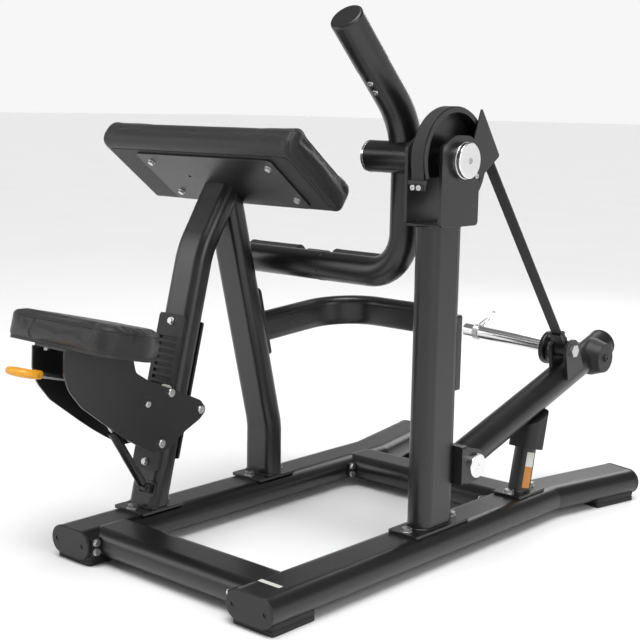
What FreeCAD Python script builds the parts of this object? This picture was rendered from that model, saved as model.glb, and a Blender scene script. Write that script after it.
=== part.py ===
"""Plate-loaded seated arm curl machine: belt-and-cam drive, sliding seat, sloping arm pad."""
import FreeCAD, Part
import math
import os

os.makedirs("parts", exist_ok=True)

# Frame of the part: the user faces +Y, +X is the user's right, feet on z = 0, millimetres.
# The shapes are laid out from the left rail's rear end and then moved by SHIFT.
SHIFT_X = -180.5
SHIFT_Y = -579.9

# Base rails and cross members: flat-oval tube
RAIL_W = 120.0
RAIL_H = 60.0
RAIL_WALL = 3.0
RAIL_BOTTOM = 14.0
RAIL_GAUGE = 531.0
RAIL_REAR = 6.0
RAIL_BEND_Y = 1000.0
SPLAY_DEG = 12.5
SPLAY_LEN = 280.0
CROSS_YS = (89.0, 916.0)
CAP_T = 6.0
CAP_PLUG = 6.0
FOOT_H = 27.0

# Main upright and legs
UPRIGHT_Y = 551.0
UPRIGHT_LEN = 116.0
UPRIGHT_W = 58.0
UPRIGHT_TOP = 722.0
PLATE_T = 6.0
LEG_W = 90.0
LEG_D = 50.0
LEG_R = 20.0
LEG_WALL = 3.0
POST_FOOT_Y = 218.0
POST_LEAN_DEG = 14.2
POST_KNEE_Z = 640.0
POST_TOP_LEAN_DEG = 31.5
LEG_FOOT_Y = 588.0
LEG_KNEE_Z = 202.0
LEG_LEAN_DEG = 14.2

# Arm pad
PAD_SLOPE_DEG = 38.0
PAD_MID_X = 10.0
PAD_MID_Y = 408.6
PAD_MID_Z = 802.8
PAD_W = 606.0
PAD_LEN = 236.0
PAD_T = 72.0
PAD_PLATE_T = 5.0

# Upper pivot, housing, cam and belt
PIVOT_Y = 563.0
PIVOT_Z = 858.0
HOUSING_X = (479.0, 575.0)
HOUSING_Y = (498.0, 628.0)
HOUSING_T = 8.0
AXLE_R = 15.0
CAM_R = 105.0
CAM_X = (528.0, 562.0)
BELT_X = (531.0, 559.0)
BELT_T = 4.0
BELT_REAR_DEG = 180.0

# Movement arm
ARM_X = 414.0
ARM_Y = 588.0
ARM_R = 33.0
UPPER_ARM_R = 35.3
ARM_WALL = 3.0
ARM_CORNER_Z = 925.0
ARM_LEAN_DEG = 44.4
ARM_BEND_R = 200.0
WEIGHT_R = 36.0
WEIGHT_FROM = 176.0
WEIGHT_TO = 300.0
CROSS_Z = 603.0
CROSS_LEFT_X = -70.0
GRIP_Y = 780.0
GRIP_Z = 595.0
GRIP_R = 23.0
GRIP_IN = 60.0
GRIP_OUT = 225.0

# Weight lever
LEVER_X = 531.0
LEVER_Y = 649.0
LEVER_Z = 199.0
LEVER_DEG = 17.12
LEVER_R = 35.0
LEVER_LEN = 634.0
HORN_AT = 561.0
HORN_R = 16.5
HORN_TILT_DEG = 3.0
HORN_TIP_X = 165.0
CLEVIS_AT = 442.0
CLEVIS_UP = 72.6
CLEVIS_X = 545.0

# Stop post
STOP_Y = 902.0
STOP_LEAN_DEG = 13.0

# Seat carriage
SEAT_TILT_DEG = 13.0
SEAT_ORG_Y = -47.0
SEAT_ORG_Z = 472.0
SIDE_X = (50.0, 55.0)
ROLLERS = ((235.0, 340.0), (207.0, 231.0), (323.0, 288.0))
PAWL_Y = 168.0
PAWL_Z = 325.0
RACK_PITCH = 15.0
STRUT_X = 24.0
STRUT_LOW = (187.0, 128.0)
STRUT_HIGH = (62.0, 327.0)

RAIL_MID = RAIL_BOTTOM + RAIL_H / 2
RAIL_TOP = RAIL_BOTTOM + RAIL_H
PLATE_TOP = RAIL_TOP + PLATE_T
FIT = 0.05


def vec(x, y, z):
    return FreeCAD.Vector(x, y, z)


X_AXIS = vec(1, 0, 0)
Y_AXIS = vec(0, 1, 0)
Z_AXIS = vec(0, 0, 1)


def yz_dir(deg_from_y):
    angle = math.radians(deg_from_y)
    return vec(0, math.cos(angle), math.sin(angle))


def box(x_span, y_span, z_span):
    size = [b - a for a, b in (x_span, y_span, z_span)]
    return Part.makeBox(*size, vec(x_span[0], y_span[0], z_span[0]))


def cyl(base, axis, radius, length):
    return Part.makeCylinder(radius, length, base, axis)


def x_cyl(x_span, y, z, radius):
    return cyl(vec(x_span[0], y, z), X_AXIS, radius, x_span[1] - x_span[0])


def fuse(shapes):
    shapes = list(shapes)
    whole = shapes[0]
    if len(shapes) > 1:
        whole = whole.multiFuse(shapes[1:])
    return whole.removeSplitter()


def cut(shape, tools):
    for tool in tools:
        shape = shape.cut(tool)
    return shape


def corner_path(points, radii, closed=False):
    """Lines through the points with an arc at each corner that has a radius."""
    count = len(points)
    starts = []
    ends = []
    arcs = []
    for i, point in enumerate(points):
        radius = radii[i]
        inner = closed or 0 < i < count - 1
        if not inner or radius <= 0:
            starts.append(point)
            ends.append(point)
            arcs.append(None)
            continue
        before = (points[i - 1] - point).normalize()
        after = (points[(i + 1) % count] - point).normalize()
        half = before.getAngle(after) / 2
        reach = radius / math.tan(half)
        middle = (before + after).normalize() * (radius / math.sin(half) - radius)
        starts.append(point + before * reach)
        ends.append(point + after * reach)
        arcs.append(point + middle)
    edges = []
    last = count if closed else count - 1
    for i in range(count):
        if arcs[i] is not None:
            edges.append(Part.Arc(starts[i], arcs[i], ends[i]).toShape())
        if i < last:
            target = starts[(i + 1) % count]
            if (target - ends[i]).Length > 1e-6:
                edges.append(Part.makeLine(ends[i], target))
    return Part.Wire(Part.__sortEdges__(edges))


def outline(origin, u_dir, v_dir, points, radii):
    """Closed wire from (u, v) points with rounded corners."""
    placed = [origin + u_dir * u + v_dir * v for u, v in points]
    if isinstance(radii, (int, float)):
        radii = [radii] * len(points)
    return corner_path(placed, radii, closed=True)


def slab(origin, u_dir, v_dir, points, radii, thickness):
    """Plate with a rounded outline; a positive thickness goes along u x v."""
    wire = outline(origin, u_dir, v_dir, points, radii)
    normal = u_dir.cross(v_dir).normalize()
    return Part.Face(wire).extrude(normal * thickness)


def side_plate(points, radii, x_span):
    return slab(vec(x_span[0], 0, 0), Y_AXIS, Z_AXIS, points, radii, x_span[1] - x_span[0])


def section(origin, u_dir, v_dir, width, depth, radius):
    u = width / 2
    v = depth / 2
    corners = ((-u, -v), (u, -v), (u, v), (-u, v))
    return outline(origin, u_dir, v_dir, corners, min(radius, u - 0.01, v - 0.01))


def swept(path, wire):
    return path.makePipeShell([wire], True, False)


def tube(points, radii, u_dir, v_dir, width, depth, radius, wall):
    """Hollow tube along a path; returns the tube and its filled outer shape."""
    path = corner_path(points, radii)
    outer = swept(path, section(points[0], u_dir, v_dir, width, depth, radius))
    bore = section(points[0], u_dir, v_dir, width - 2 * wall, depth - 2 * wall, radius - wall)
    return outer.cut(swept(path, bore)), outer


def round_tube(points, radii, radius, wall):
    path = corner_path(points, radii)
    direction = (points[1] - points[0]).normalize()
    solids = []
    for r in (radius, radius - wall):
        ring = Part.Wire(Part.makeCircle(r, points[0], direction))
        solids.append(path.makePipeShell([ring], True, False))
    return solids[0].cut(solids[1]), solids[0]


def hex_prism(base, axis, across_flats, height):
    """Hexagonal head or nut standing on base."""
    side = axis.cross(Z_AXIS if abs(axis.z) < 0.9 else X_AXIS).normalize()
    other = axis.cross(side).normalize()
    r = across_flats / math.sqrt(3)
    points = []
    for k in range(6):
        angle = math.radians(60 * k)
        points.append(base + side * (r * math.cos(angle)) + other * (r * math.sin(angle)))
    return Part.Face(Part.makePolygon(points + points[:1])).extrude(axis * height)


def hex_bolt(base, axis, size, shank):
    """Washer and hex head above base, shank below it."""
    washer = cyl(base, axis, size * 1.05, 1.6)
    head = hex_prism(base + axis * 1.6, axis, size * 1.6, size * 0.62)
    stem = cyl(base - axis * shank, axis, size / 2, shank)
    return fuse((washer, head, stem))


def button_bolt(base, axis, size, shank):
    """Low round head with a hexagon socket."""
    head = cyl(base, axis, size * 0.95, size * 0.5)
    head = rounded(head, size * 0.22, lambda e: e.CenterOfMass.distanceToPoint(base) > size * 0.4)
    socket = hex_prism(base + axis * (size * 0.2), axis, size * 0.6, size)
    stem = cyl(base - axis * shank, axis, size / 2, shank)
    return fuse((head.cut(socket), stem))


def bolt_hole(base, axis, size, depth):
    return cyl(base - axis * depth, axis, size / 2 + 0.2, 2 * depth)


def largest(shape):
    return sorted(shape.Solids, key=lambda solid: -solid.Volume)[0]


def rounded(shape, radius, wanted):
    """Fillet the edges for which wanted(edge) is true."""
    return shape.makeFillet(radius, [edge for edge in shape.Edges if wanted(edge)])


NODES = {}


def add(name, *solids):
    shape = solids[0] if len(solids) == 1 else Part.makeCompound(list(solids))
    NODES[name] = shape


# ---------------------------------------------------------------- base rails
def rail_path(side):
    """Centre line of a rail: straight, then splayed outwards; side is -1 left, +1 right."""
    x = RAIL_GAUGE if side > 0 else 0.0
    splay = math.radians(SPLAY_DEG)
    knee = vec(x, RAIL_BEND_Y, RAIL_MID)
    end = knee + vec(side * math.sin(splay), math.cos(splay), 0) * SPLAY_LEN
    return [vec(x, RAIL_REAR, RAIL_MID), knee, end]


def oval_run(start, end, width, height, wall):
    """Straight flat-oval run lying on its wide side."""
    along = (end - start).normalize()
    across = along.cross(Z_AXIS)
    length = (end - start).Length
    face = Part.Face(section(start, across, Z_AXIS, width, height, height / 2))
    solid = face.extrude(along * length)
    if wall <= 0:
        return solid
    inner = section(start, across, Z_AXIS, width - 2 * wall, height - 2 * wall, height / 2 - wall)
    return solid.cut(Part.Face(inner).extrude(along * length))


def mitred_rail(side, wall):
    """Two straight runs mitred at the knee and welded."""
    rear, knee, end = rail_path(side)
    half = math.radians(SPLAY_DEG / 2)
    bisector = vec(side * math.sin(half), math.cos(half), 0)
    across = bisector.cross(Z_AXIS)
    big = 400.0
    cutter = Part.makeBox(2 * big, 2 * big, 2 * big)
    corner = knee - across * big - Z_AXIS * big
    front_half = cutter.copy()
    front_half.Placement = FreeCAD.Placement(
        corner, FreeCAD.Rotation(across, bisector, Z_AXIS, "ZXY"))
    over = 60.0
    along_1 = (knee - rear).normalize()
    along_2 = (end - knee).normalize()
    run_1 = oval_run(rear, knee + along_1 * over, RAIL_W, RAIL_H, wall).cut(front_half)
    run_2 = oval_run(knee - along_2 * over, end, RAIL_W, RAIL_H, wall).common(front_half)
    return run_1.fuse(run_2).removeSplitter()


def end_frame(side, at_front):
    """Origin, outward direction and sideways direction of a rail end."""
    rear, knee, end = rail_path(side)
    if at_front:
        out = (end - knee).normalize()
        return end, out, out.cross(Z_AXIS)
    return rear, vec(0, -1, 0), vec(-1, 0, 0)


RAIL_ENDS = [end_frame(side, front) for side in (-1, 1) for front in (False, True)]
SCREW_X = 42.0


def cap_at(origin, out, across):
    face = Part.Face(section(origin, across, Z_AXIS, RAIL_W + 1.0, RAIL_H + 1.0, RAIL_H / 2 + 0.5))
    lid = face.extrude(out * CAP_T)
    outer_edges = [e for e in lid.Edges if (e.CenterOfMass - origin).dot(out) > CAP_T - 0.1]
    lid = lid.makeFillet(1.8, outer_edges)
    plug_wire = section(origin, across, Z_AXIS, RAIL_W - 2 * RAIL_WALL, RAIL_H - 2 * RAIL_WALL,
                        RAIL_H / 2 - RAIL_WALL)
    plug = Part.Face(plug_wire).extrude(out * -CAP_PLUG)
    cap = lid.fuse(plug)
    for s in (-1, 1):
        seat = origin + across * (s * SCREW_X) + out * CAP_T
        cap = cap.cut(cyl(seat - out * 4.0, out, 5.0, 10.0))
        cap = cap.cut(cyl(seat - out * 30.0, out, 2.6, 40.0))
    return cap.removeSplitter()


def cap_screws(origin, out, across):
    screws = []
    for s in (-1, 1):
        seat = origin + across * (s * SCREW_X) + out * (CAP_T - 4.0)
        head = cyl(seat, out, 4.6, 2.4).cut(hex_prism(seat + out * 1.0, out, 3.0, 3.0))
        screws.append(fuse((head, cyl(seat - out * 16.0, out, 2.5, 16.0))))
    return screws


def foot_at(origin, out, across, length, width):
    """Rubber block cradling the tube."""
    start = origin - out * (length + 4.0) - Z_AXIS * RAIL_MID
    corners = ((-width / 2, 0), (width / 2, 0), (width / 2, length), (-width / 2, length))
    return slab(start, across, out, corners, 4.0, FOOT_H)


right_rail = mitred_rail(1, RAIL_WALL)
left_rail = mitred_rail(-1, RAIL_WALL)
RAIL_SOLIDS = [mitred_rail(side, 0) for side in (-1, 1)]

caps = [cap_at(*frame) for frame in RAIL_ENDS]
screws = [s for frame in RAIL_ENDS for s in cap_screws(*frame)]
feet = []
for frame, length in zip(RAIL_ENDS, (118.0, 130.0, 118.0, 130.0)):
    feet.append(cut(foot_at(*frame, length, 106.0), RAIL_SOLIDS))


def cross_member(y, wall):
    solid = oval_run(vec(0, y, RAIL_MID), vec(RAIL_GAUGE, y, RAIL_MID), RAIL_W, RAIL_H, wall)
    return cut(solid, RAIL_SOLIDS)


TAB_T = 5.0
TAB_LEN = 24.0
TAB_ZS = (34.0, 54.0)


def cross_tabs(y):
    """Bolting tabs welded to the rear side of a cross member, one at each rail."""
    tabs = []
    for x in (RAIL_W / 2, RAIL_GAUGE - RAIL_W / 2 - TAB_T):
        tabs.append(box((x, x + TAB_T), (y - RAIL_W / 2 - TAB_LEN + 4, y - 20), (26.0, 62.0)))
    return tabs


def cross_bolts(y):
    bolts = []
    for x, axis in ((RAIL_W / 2 + TAB_T, X_AXIS), (RAIL_GAUGE - RAIL_W / 2 - TAB_T, X_AXIS * -1)):
        for z in TAB_ZS:
            bolts.append(hex_bolt(vec(x, y - RAIL_W / 2 - TAB_LEN / 2 + 2, z), axis, 8.0, TAB_T + 6.0))
    return bolts


cross_nodes = []
cross_bolt_solids = []
feet = [cut(foot, [cross_member(CROSS_YS[0], 0)]) for foot in feet]
for cross_y in CROSS_YS:
    member = fuse([cross_member(cross_y, RAIL_WALL)] + cross_tabs(cross_y))
    member = cut(member, RAIL_SOLIDS)
    member = cut(member, [oval_run(vec(0, cross_y, RAIL_MID), vec(RAIL_GAUGE, cross_y, RAIL_MID),
                                   RAIL_W - 2 * RAIL_WALL, RAIL_H - 2 * RAIL_WALL, 0)])
    bolts = cross_bolts(cross_y)
    member = cut(member, bolts)
    left_rail = cut(left_rail, bolts)
    right_rail = cut(right_rail, bolts)
    cross_nodes.append(member)
    cross_bolt_solids += bolts

# ---------------------------------------------------------------- upright, legs and base plates
up_section = section(vec(RAIL_GAUGE, UPRIGHT_Y, PLATE_TOP), X_AXIS, Y_AXIS, UPRIGHT_W, UPRIGHT_LEN,
                     UPRIGHT_W / 2)
up_bore = section(vec(RAIL_GAUGE, UPRIGHT_Y, PLATE_TOP), X_AXIS, Y_AXIS, UPRIGHT_W - 8,
                  UPRIGHT_LEN - 8, UPRIGHT_W / 2 - 4)
up_height = Z_AXIS * (UPRIGHT_TOP - PLATE_TOP)
UPRIGHT_SOLID = Part.Face(up_section).extrude(up_height)
upright_tube = UPRIGHT_SOLID.cut(Part.Face(up_bore).extrude(up_height))


def base_plate(x, y, width, length):
    corners = ((-width / 2, -length / 2), (width / 2, -length / 2), (width / 2, length / 2),
               (-width / 2, length / 2))
    return slab(vec(x, y, RAIL_TOP), X_AXIS, Y_AXIS, corners, 5.0, PLATE_T)


BASE_BOLTS = [
    (RAIL_GAUGE, 473.0), (RAIL_GAUGE, 629.0),
    (0.0, 172.0), (0.0, 266.0),
    (0.0, 539.0), (0.0, 637.0),
    (RAIL_GAUGE, 861.0), (RAIL_GAUGE, 947.0),
]
base_bolts = [hex_bolt(vec(x, y, PLATE_TOP), Z_AXIS, 12.0, 14.0) for x, y in BASE_BOLTS]
base_holes = [bolt_hole(vec(x, y, PLATE_TOP), Z_AXIS, 12.0, 20.0) for x, y in BASE_BOLTS]
left_rail = cut(left_rail, base_holes)
right_rail = cut(right_rail, base_holes)

main_upright = cut(fuse((upright_tube, base_plate(RAIL_GAUGE, UPRIGHT_Y, 78.0, 188.0))), base_holes)

# Seat post: leans forward, knee below the arm pad
post_dir = yz_dir(90 - POST_LEAN_DEG)
post_top_dir = yz_dir(90 - POST_TOP_LEAN_DEG)
post_base = vec(0, POST_FOOT_Y, PLATE_TOP)
post_knee = post_base + post_dir * ((POST_KNEE_Z - PLATE_TOP) / post_dir.z)
post_top = post_knee + post_top_dir * 210.0
POST_BACK = X_AXIS.cross(post_dir)

pad_along = yz_dir(-PAD_SLOPE_DEG)
pad_normal = yz_dir(90 - PAD_SLOPE_DEG)
pad_mid = vec(PAD_MID_X, PAD_MID_Y, PAD_MID_Z)
pad_under = pad_mid - pad_normal * PAD_PLATE_T


def half_space(point, normal, size=700.0):
    """Large block on the side of the plane that the normal points to."""
    side = normal.cross(X_AXIS).normalize()
    corners = ((-size, -size), (size, -size), (size, size), (-size, size))
    return slab(point, side, X_AXIS, corners, 0, -size)


above_pad = half_space(pad_under, pad_normal)
below_base = box((-400, 900), (-100, 1400), (-300, PLATE_TOP))

start_low = post_base - post_dir * 20
post_tube, post_solid = tube([start_low, post_knee, post_top], [0, 190.0, 0], X_AXIS,
                             POST_BACK * -1, LEG_W, LEG_D, LEG_R, LEG_WALL)
POST_SOLID = cut(post_solid, [above_pad, below_base])
post_tube = cut(post_tube, [above_pad, below_base])
seat_post = cut(fuse((post_tube, base_plate(0, 221.0, 96.0, 123.0))), base_holes)

# Front leg: vertical foot, then leans back to the seat post
leg_dir = yz_dir(90 + LEG_LEAN_DEG)
leg_knee = vec(0, LEG_FOOT_Y, LEG_KNEE_Z)
leg_top = leg_knee + leg_dir * 590.0
leg_tube, _ = tube([vec(0, LEG_FOOT_Y, PLATE_TOP), leg_knee, leg_top], [0, 150.0, 0], X_AXIS,
                           Y_AXIS, LEG_W, LEG_D, LEG_R, LEG_WALL)
leg_tube = largest(cut(leg_tube, [above_pad, POST_SOLID]))
front_leg = cut(fuse((leg_tube, base_plate(0, LEG_FOOT_Y, 96.0, 123.0))), base_holes)

# ---------------------------------------------------------------- seat rack and guide strip
POST_FACE = LEG_D / 2
RACK_W = 84.0
RACK_BACK = 7.0


def on_post(height, off_back, x=0.0):
    """Point beside the straight part of the seat post: height along it, offset rearwards."""
    return post_base + post_dir * height + POST_BACK * off_back + X_AXIS * x


RACK_LOW = 78.0
RACK_HIGH = 427.0
PAWL_HEIGHT = 253.0
TOOTH = 7.5
SLOT_DEPTH = 4.5
LOWEST_SLOT = -6
HIGHEST_SLOT = 8
RACK_CORNERS = ((-RACK_W / 2, 0), (RACK_W / 2, 0), (RACK_W / 2, RACK_HIGH - RACK_LOW),
                (-RACK_W / 2, RACK_HIGH - RACK_LOW))
rack_bar = slab(on_post(RACK_LOW, POST_FACE), X_AXIS, post_dir, RACK_CORNERS, 8.0, RACK_BACK)
slots = []
for k in range(LOWEST_SLOT, HIGHEST_SLOT + 1):
    slot_low = on_post(PAWL_HEIGHT + k * RACK_PITCH - TOOTH / 2, POST_FACE + RACK_BACK - SLOT_DEPTH, -30.0)
    slots.append(slab(slot_low, X_AXIS, post_dir, ((0, 0), (60.0, 0), (60.0, TOOTH), (0, TOOTH)), 1.5, 20.0))
rack_bolts = [hex_bolt(on_post(h, POST_FACE + RACK_BACK), POST_BACK, 8.0, 13.0)
              for h in (RACK_LOW + 16, RACK_HIGH - 16)]
seat_rack = cut(rack_bar, slots + rack_bolts)
seat_post = cut(seat_post, rack_bolts)

STRIP_LOW = 110.0
STRIP_HIGH = 420.0
STRIP_T = 5.0
STRIP_HALF = 40.0
STRIP_CORNERS = ((-STRIP_HALF, 0), (STRIP_HALF, 0), (STRIP_HALF, STRIP_HIGH - STRIP_LOW),
                 (-STRIP_HALF, STRIP_HIGH - STRIP_LOW))
guide_strip = slab(on_post(STRIP_LOW, -POST_FACE), X_AXIS, post_dir, STRIP_CORNERS, 6.0, -STRIP_T)
strip_screws = [button_bolt(on_post(h, -POST_FACE - STRIP_T), POST_BACK * -1.0, 6.0, 11.0)
                for h in (STRIP_LOW + 14, STRIP_HIGH - 14)]
guide_strip = cut(guide_strip, strip_screws)
seat_post = cut(seat_post, strip_screws)

# ---------------------------------------------------------------- brace tube
BRACE_Z = 450.0
leg_front = leg_knee + leg_dir * ((BRACE_Z - LEG_KNEE_Z) / leg_dir.z)
leg_front_normal = vec(0, leg_dir.z, -leg_dir.y)
plate_org = leg_front + leg_front_normal * (LEG_D / 2)
brace_leg_plate = slab(plate_org, X_AXIS, leg_dir, ((-34, -84), (34, -84), (34, 84), (-34, 84)), 10.0, -8.0)
up_face_y = UPRIGHT_Y + UPRIGHT_LEN / 2
brace_up_plate = slab(vec(RAIL_GAUGE - 22, up_face_y - 9, BRACE_Z - 84), X_AXIS, Z_AXIS,
                      ((0, 0), (44, 0), (44, 164), (0, 164)), 6.0, -17.0)
brace_up_plate = brace_up_plate.cut(UPRIGHT_SOLID)
brace_points = [vec(0, 540.0, BRACE_Z - 13), vec(0, 866.0, BRACE_Z + 10), vec(345.0, 866.0, BRACE_Z + 10),
                vec(RAIL_GAUGE, 600.0, BRACE_Z + 6)]
brace_tube, _ = tube(brace_points, [0, 120.0, 130.0, 0], X_AXIS, Z_AXIS, 42.0, 72.0, 18.0, 3.0)
leg_side = half_space(plate_org + leg_front_normal * 8.0, leg_front_normal * -1.0)
up_side = box((400, 700), (500, up_face_y + 8), (300, 600))
brace_tube = largest(cut(brace_tube, [leg_side, up_side]))
brace_bolts = []
for dz in (-66.0, 66.0):
    leg_seat = plate_org + leg_front_normal * 8.0 + leg_dir * dz
    brace_bolts.append(hex_bolt(leg_seat, leg_front_normal, 10.0, 13.0))
    brace_bolts.append(hex_bolt(vec(RAIL_GAUGE, up_face_y + 8, BRACE_Z - 2 + dz * 1.05), Y_AXIS, 10.0, 16.0))
brace = cut(fuse((brace_tube, brace_leg_plate, brace_up_plate)), brace_bolts)
front_leg = cut(front_leg, brace_bolts)
main_upright = cut(main_upright, brace_bolts)

# ---------------------------------------------------------------- arm pad
PAD_BOARD_T = 12.0
PAD_PROFILE = ((-PAD_LEN / 2, 0), (PAD_LEN / 2, 0), (PAD_LEN / 2, PAD_T), (-PAD_LEN / 2, PAD_T))
arm_pad = slab(pad_mid - X_AXIS * (PAD_W / 2), pad_along, pad_normal, PAD_PROFILE,
               (26.0, 14.0, 22.0, 26.0), PAD_W)
arm_pad = rounded(arm_pad, 12.0, lambda e: abs(abs(e.CenterOfMass.x - PAD_MID_X) - PAD_W / 2) < 0.1)
pad_board = slab(pad_mid, X_AXIS, pad_along,
                 ((-PAD_W / 2 + 20, -PAD_LEN / 2 + 32), (PAD_W / 2 - 20, -PAD_LEN / 2 + 32),
                  (PAD_W / 2 - 20, PAD_LEN / 2 - 20), (-PAD_W / 2 + 20, PAD_LEN / 2 - 20)),
                 10.0, PAD_BOARD_T)
arm_pad = arm_pad.cut(pad_board)
pad_plate = slab(pad_mid, X_AXIS, pad_along, ((-196, -78), (232, -78), (232, 96), (-196, 96)),
                 (10, 10, 18, 18), -PAD_PLATE_T)
pad_bolts = [hex_bolt(pad_under + X_AXIS * x + pad_along * s, pad_normal * -1.0, 8.0, 14.0)
             for x, s in ((-164, -50), (-160, 64), (210, -52), (212, 62))]
pad_plate = cut(pad_plate, pad_bolts + [cyl(pad_under - X_AXIS * 78, pad_normal, 4.0, PAD_PLATE_T)])
pad_board = cut(pad_board, pad_bolts)

# ---------------------------------------------------------------- pivot housing on the upright
near_x = (HOUSING_X[1] - HOUSING_T, HOUSING_X[1])
far_x = (HOUSING_X[0], HOUSING_X[0] + HOUSING_T)
HOUSING_OUTLINE = ((HOUSING_Y[0], UPRIGHT_TOP), (HOUSING_Y[1], UPRIGHT_TOP), (HOUSING_Y[1], 872.0),
                   (598.0, 908.0), (540.0, 909.0), (HOUSING_Y[0], 886.0))
HOUSING_RADII = (10.0, 10.0, 20.0, 34.0, 46.0, 16.0)
FLOOR_T = 5.0
near_plate = side_plate(HOUSING_OUTLINE, HOUSING_RADII, near_x)
far_plate = side_plate(HOUSING_OUTLINE, HOUSING_RADII, far_x)
BEARING_R = 31.0
bearing_spans = ((far_x[0], far_x[1] + 10.0), (near_x[0] - 1.0, near_x[1] + 8.0))
bore_tools = [x_cyl((span[0] - 5, span[1] + 5), PIVOT_Y, PIVOT_Z, BEARING_R) for span in bearing_spans]
bottom = box((far_x[1], near_x[0]), (HOUSING_Y[0] + 2, HOUSING_Y[1] - 2),
             (UPRIGHT_TOP, UPRIGHT_TOP + FLOOR_T))
pivot_housing = cut(fuse((near_plate, far_plate, bottom)), bore_tools)
bearings = []
for span in bearing_spans:
    outer_ring = x_cyl(span, PIVOT_Y, PIVOT_Z, BEARING_R)
    bearings.append(outer_ring.cut(x_cyl(span, PIVOT_Y, PIVOT_Z, AXLE_R + FIT)))

FIN_T = 3.0
fin_x = (near_x[0] - FIN_T, near_x[0])
guard_fin = side_plate(((641, 965), (606, 872), (606, 812), (624, 812), (648, 822), (713, 864)),
                       (3, 6, 6, 6, 3, 5), fin_x)
FIN_BOLTS = ((618.0, 849.0), (617.0, 825.0))
fin_bolts = [button_bolt(vec(near_x[1], y, z), X_AXIS, 6.0, HOUSING_T + FIN_T) for y, z in FIN_BOLTS]
pivot_housing = cut(pivot_housing, fin_bolts)
guard_fin = cut(guard_fin, fin_bolts + bore_tools)

# ---------------------------------------------------------------- movement arm
arm_dir = vec(0, -math.sin(math.radians(ARM_LEAN_DEG)), math.cos(math.radians(ARM_LEAN_DEG)))
arm_corner = vec(ARM_X, ARM_Y, ARM_CORNER_Z)
arm_middle = vec(ARM_X, ARM_Y, PIVOT_Z - 20.0)
upper_points = [arm_middle, arm_corner, arm_corner + arm_dir * WEIGHT_FROM]
upper_arm, _ = round_tube(upper_points, [0, ARM_BEND_R, 0], UPPER_ARM_R, ARM_WALL)
lower_points = [arm_middle, vec(ARM_X, ARM_Y, CROSS_Z), vec(CROSS_LEFT_X, ARM_Y, CROSS_Z)]
lower_arm, lower_solid = round_tube(lower_points, [0, 92.0, 0], ARM_R, ARM_WALL)
PIVOT_TUBE_R = 34.2
PIVOT_TUBE_X = (340.0, HOUSING_X[0] - 1.0)
axle = x_cyl((PIVOT_TUBE_X[0], HOUSING_X[1] + 11.0), PIVOT_Y, PIVOT_Z, AXLE_R)
pivot_outer = x_cyl(PIVOT_TUBE_X, PIVOT_Y, PIVOT_Z, PIVOT_TUBE_R)
pivot_inner = x_cyl((PIVOT_TUBE_X[0] + 14.0, PIVOT_TUBE_X[1] - 11.0), PIVOT_Y, PIVOT_Z, PIVOT_TUBE_R - 5.0)
pivot_tube = cut(pivot_outer, [pivot_inner, axle])
lower_arm = lower_arm.cut(pivot_outer)

weight_base = arm_corner + arm_dir * WEIGHT_FROM
weight_top = arm_corner + arm_dir * WEIGHT_TO
counterweight = cyl(weight_base, arm_dir, WEIGHT_R, WEIGHT_TO - WEIGHT_FROM)
counterweight = rounded(counterweight, 6.0, lambda e: e.CenterOfMass.distanceToPoint(weight_top) < 1)
weight_down = X_AXIS.cross(arm_dir)
SCREW_TURN = math.radians(6.0)
screw_out = X_AXIS * math.sin(SCREW_TURN) + weight_down * math.cos(SCREW_TURN)
weight_screws = []
for below in (24.0, 48.0):
    seat = arm_corner + arm_dir * (WEIGHT_FROM - below) + screw_out * (UPPER_ARM_R - 0.4)
    weight_screws.append(button_bolt(seat, screw_out, 7.0, 5.0))
core_base = arm_corner + arm_dir * (WEIGHT_FROM - 60)
weight_core = cyl(core_base, arm_dir, UPPER_ARM_R - ARM_WALL, WEIGHT_TO - WEIGHT_FROM + 50)
upper_arm = cut(upper_arm, [pivot_outer] + weight_screws)
counterweight = cut(fuse((counterweight, weight_core)), weight_screws)

cross_cap = cyl(vec(CROSS_LEFT_X, ARM_Y, CROSS_Z), X_AXIS * -1.0, ARM_R + 0.5, 5.0)
cross_cap = cross_cap.makeFillet(2.0, [e for e in cross_cap.Edges if e.CenterOfMass.x < CROSS_LEFT_X - 4.9])
cross_cap = cross_cap.fuse(cyl(vec(CROSS_LEFT_X, ARM_Y, CROSS_Z), X_AXIS, ARM_R - ARM_WALL, 12.0))
SLEEVE_X = (180.0, 190.0)
cross_ring = x_cyl(SLEEVE_X, ARM_Y, CROSS_Z, ARM_R + 0.9).cut(x_cyl(SLEEVE_X, ARM_Y, CROSS_Z, ARM_R))

carrier_start = vec(-5.0, ARM_Y, CROSS_Z - 4.0)
carrier_end = vec(-5.0, GRIP_Y, GRIP_Z - 4.0)
carrier_dir = (carrier_end - carrier_start).normalize()
carrier_up = X_AXIS.cross(carrier_dir)
carrier_run = Part.Face(section(carrier_start, X_AXIS, carrier_up, 60.0, 30.0, 14.9)).extrude(
    carrier_dir * (carrier_end - carrier_start).Length)
carrier_bore = Part.Face(section(carrier_start, X_AXIS, carrier_up, 54.0, 24.0, 11.9)).extrude(
    carrier_dir * ((carrier_end - carrier_start).Length - 24.0))
boss = x_cyl((-37.0, 27.0), GRIP_Y, GRIP_Z, 15.5)
grip_bar = x_cyl((-5.0 - GRIP_OUT - 4, -5.0 + GRIP_OUT + 4), GRIP_Y, GRIP_Z, 12.5)
grip_carrier = cut(fuse((carrier_run.cut(carrier_bore), boss)), [lower_solid, grip_bar])
grip_carrier = largest(grip_carrier)
grips = []
grip_caps = []
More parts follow.
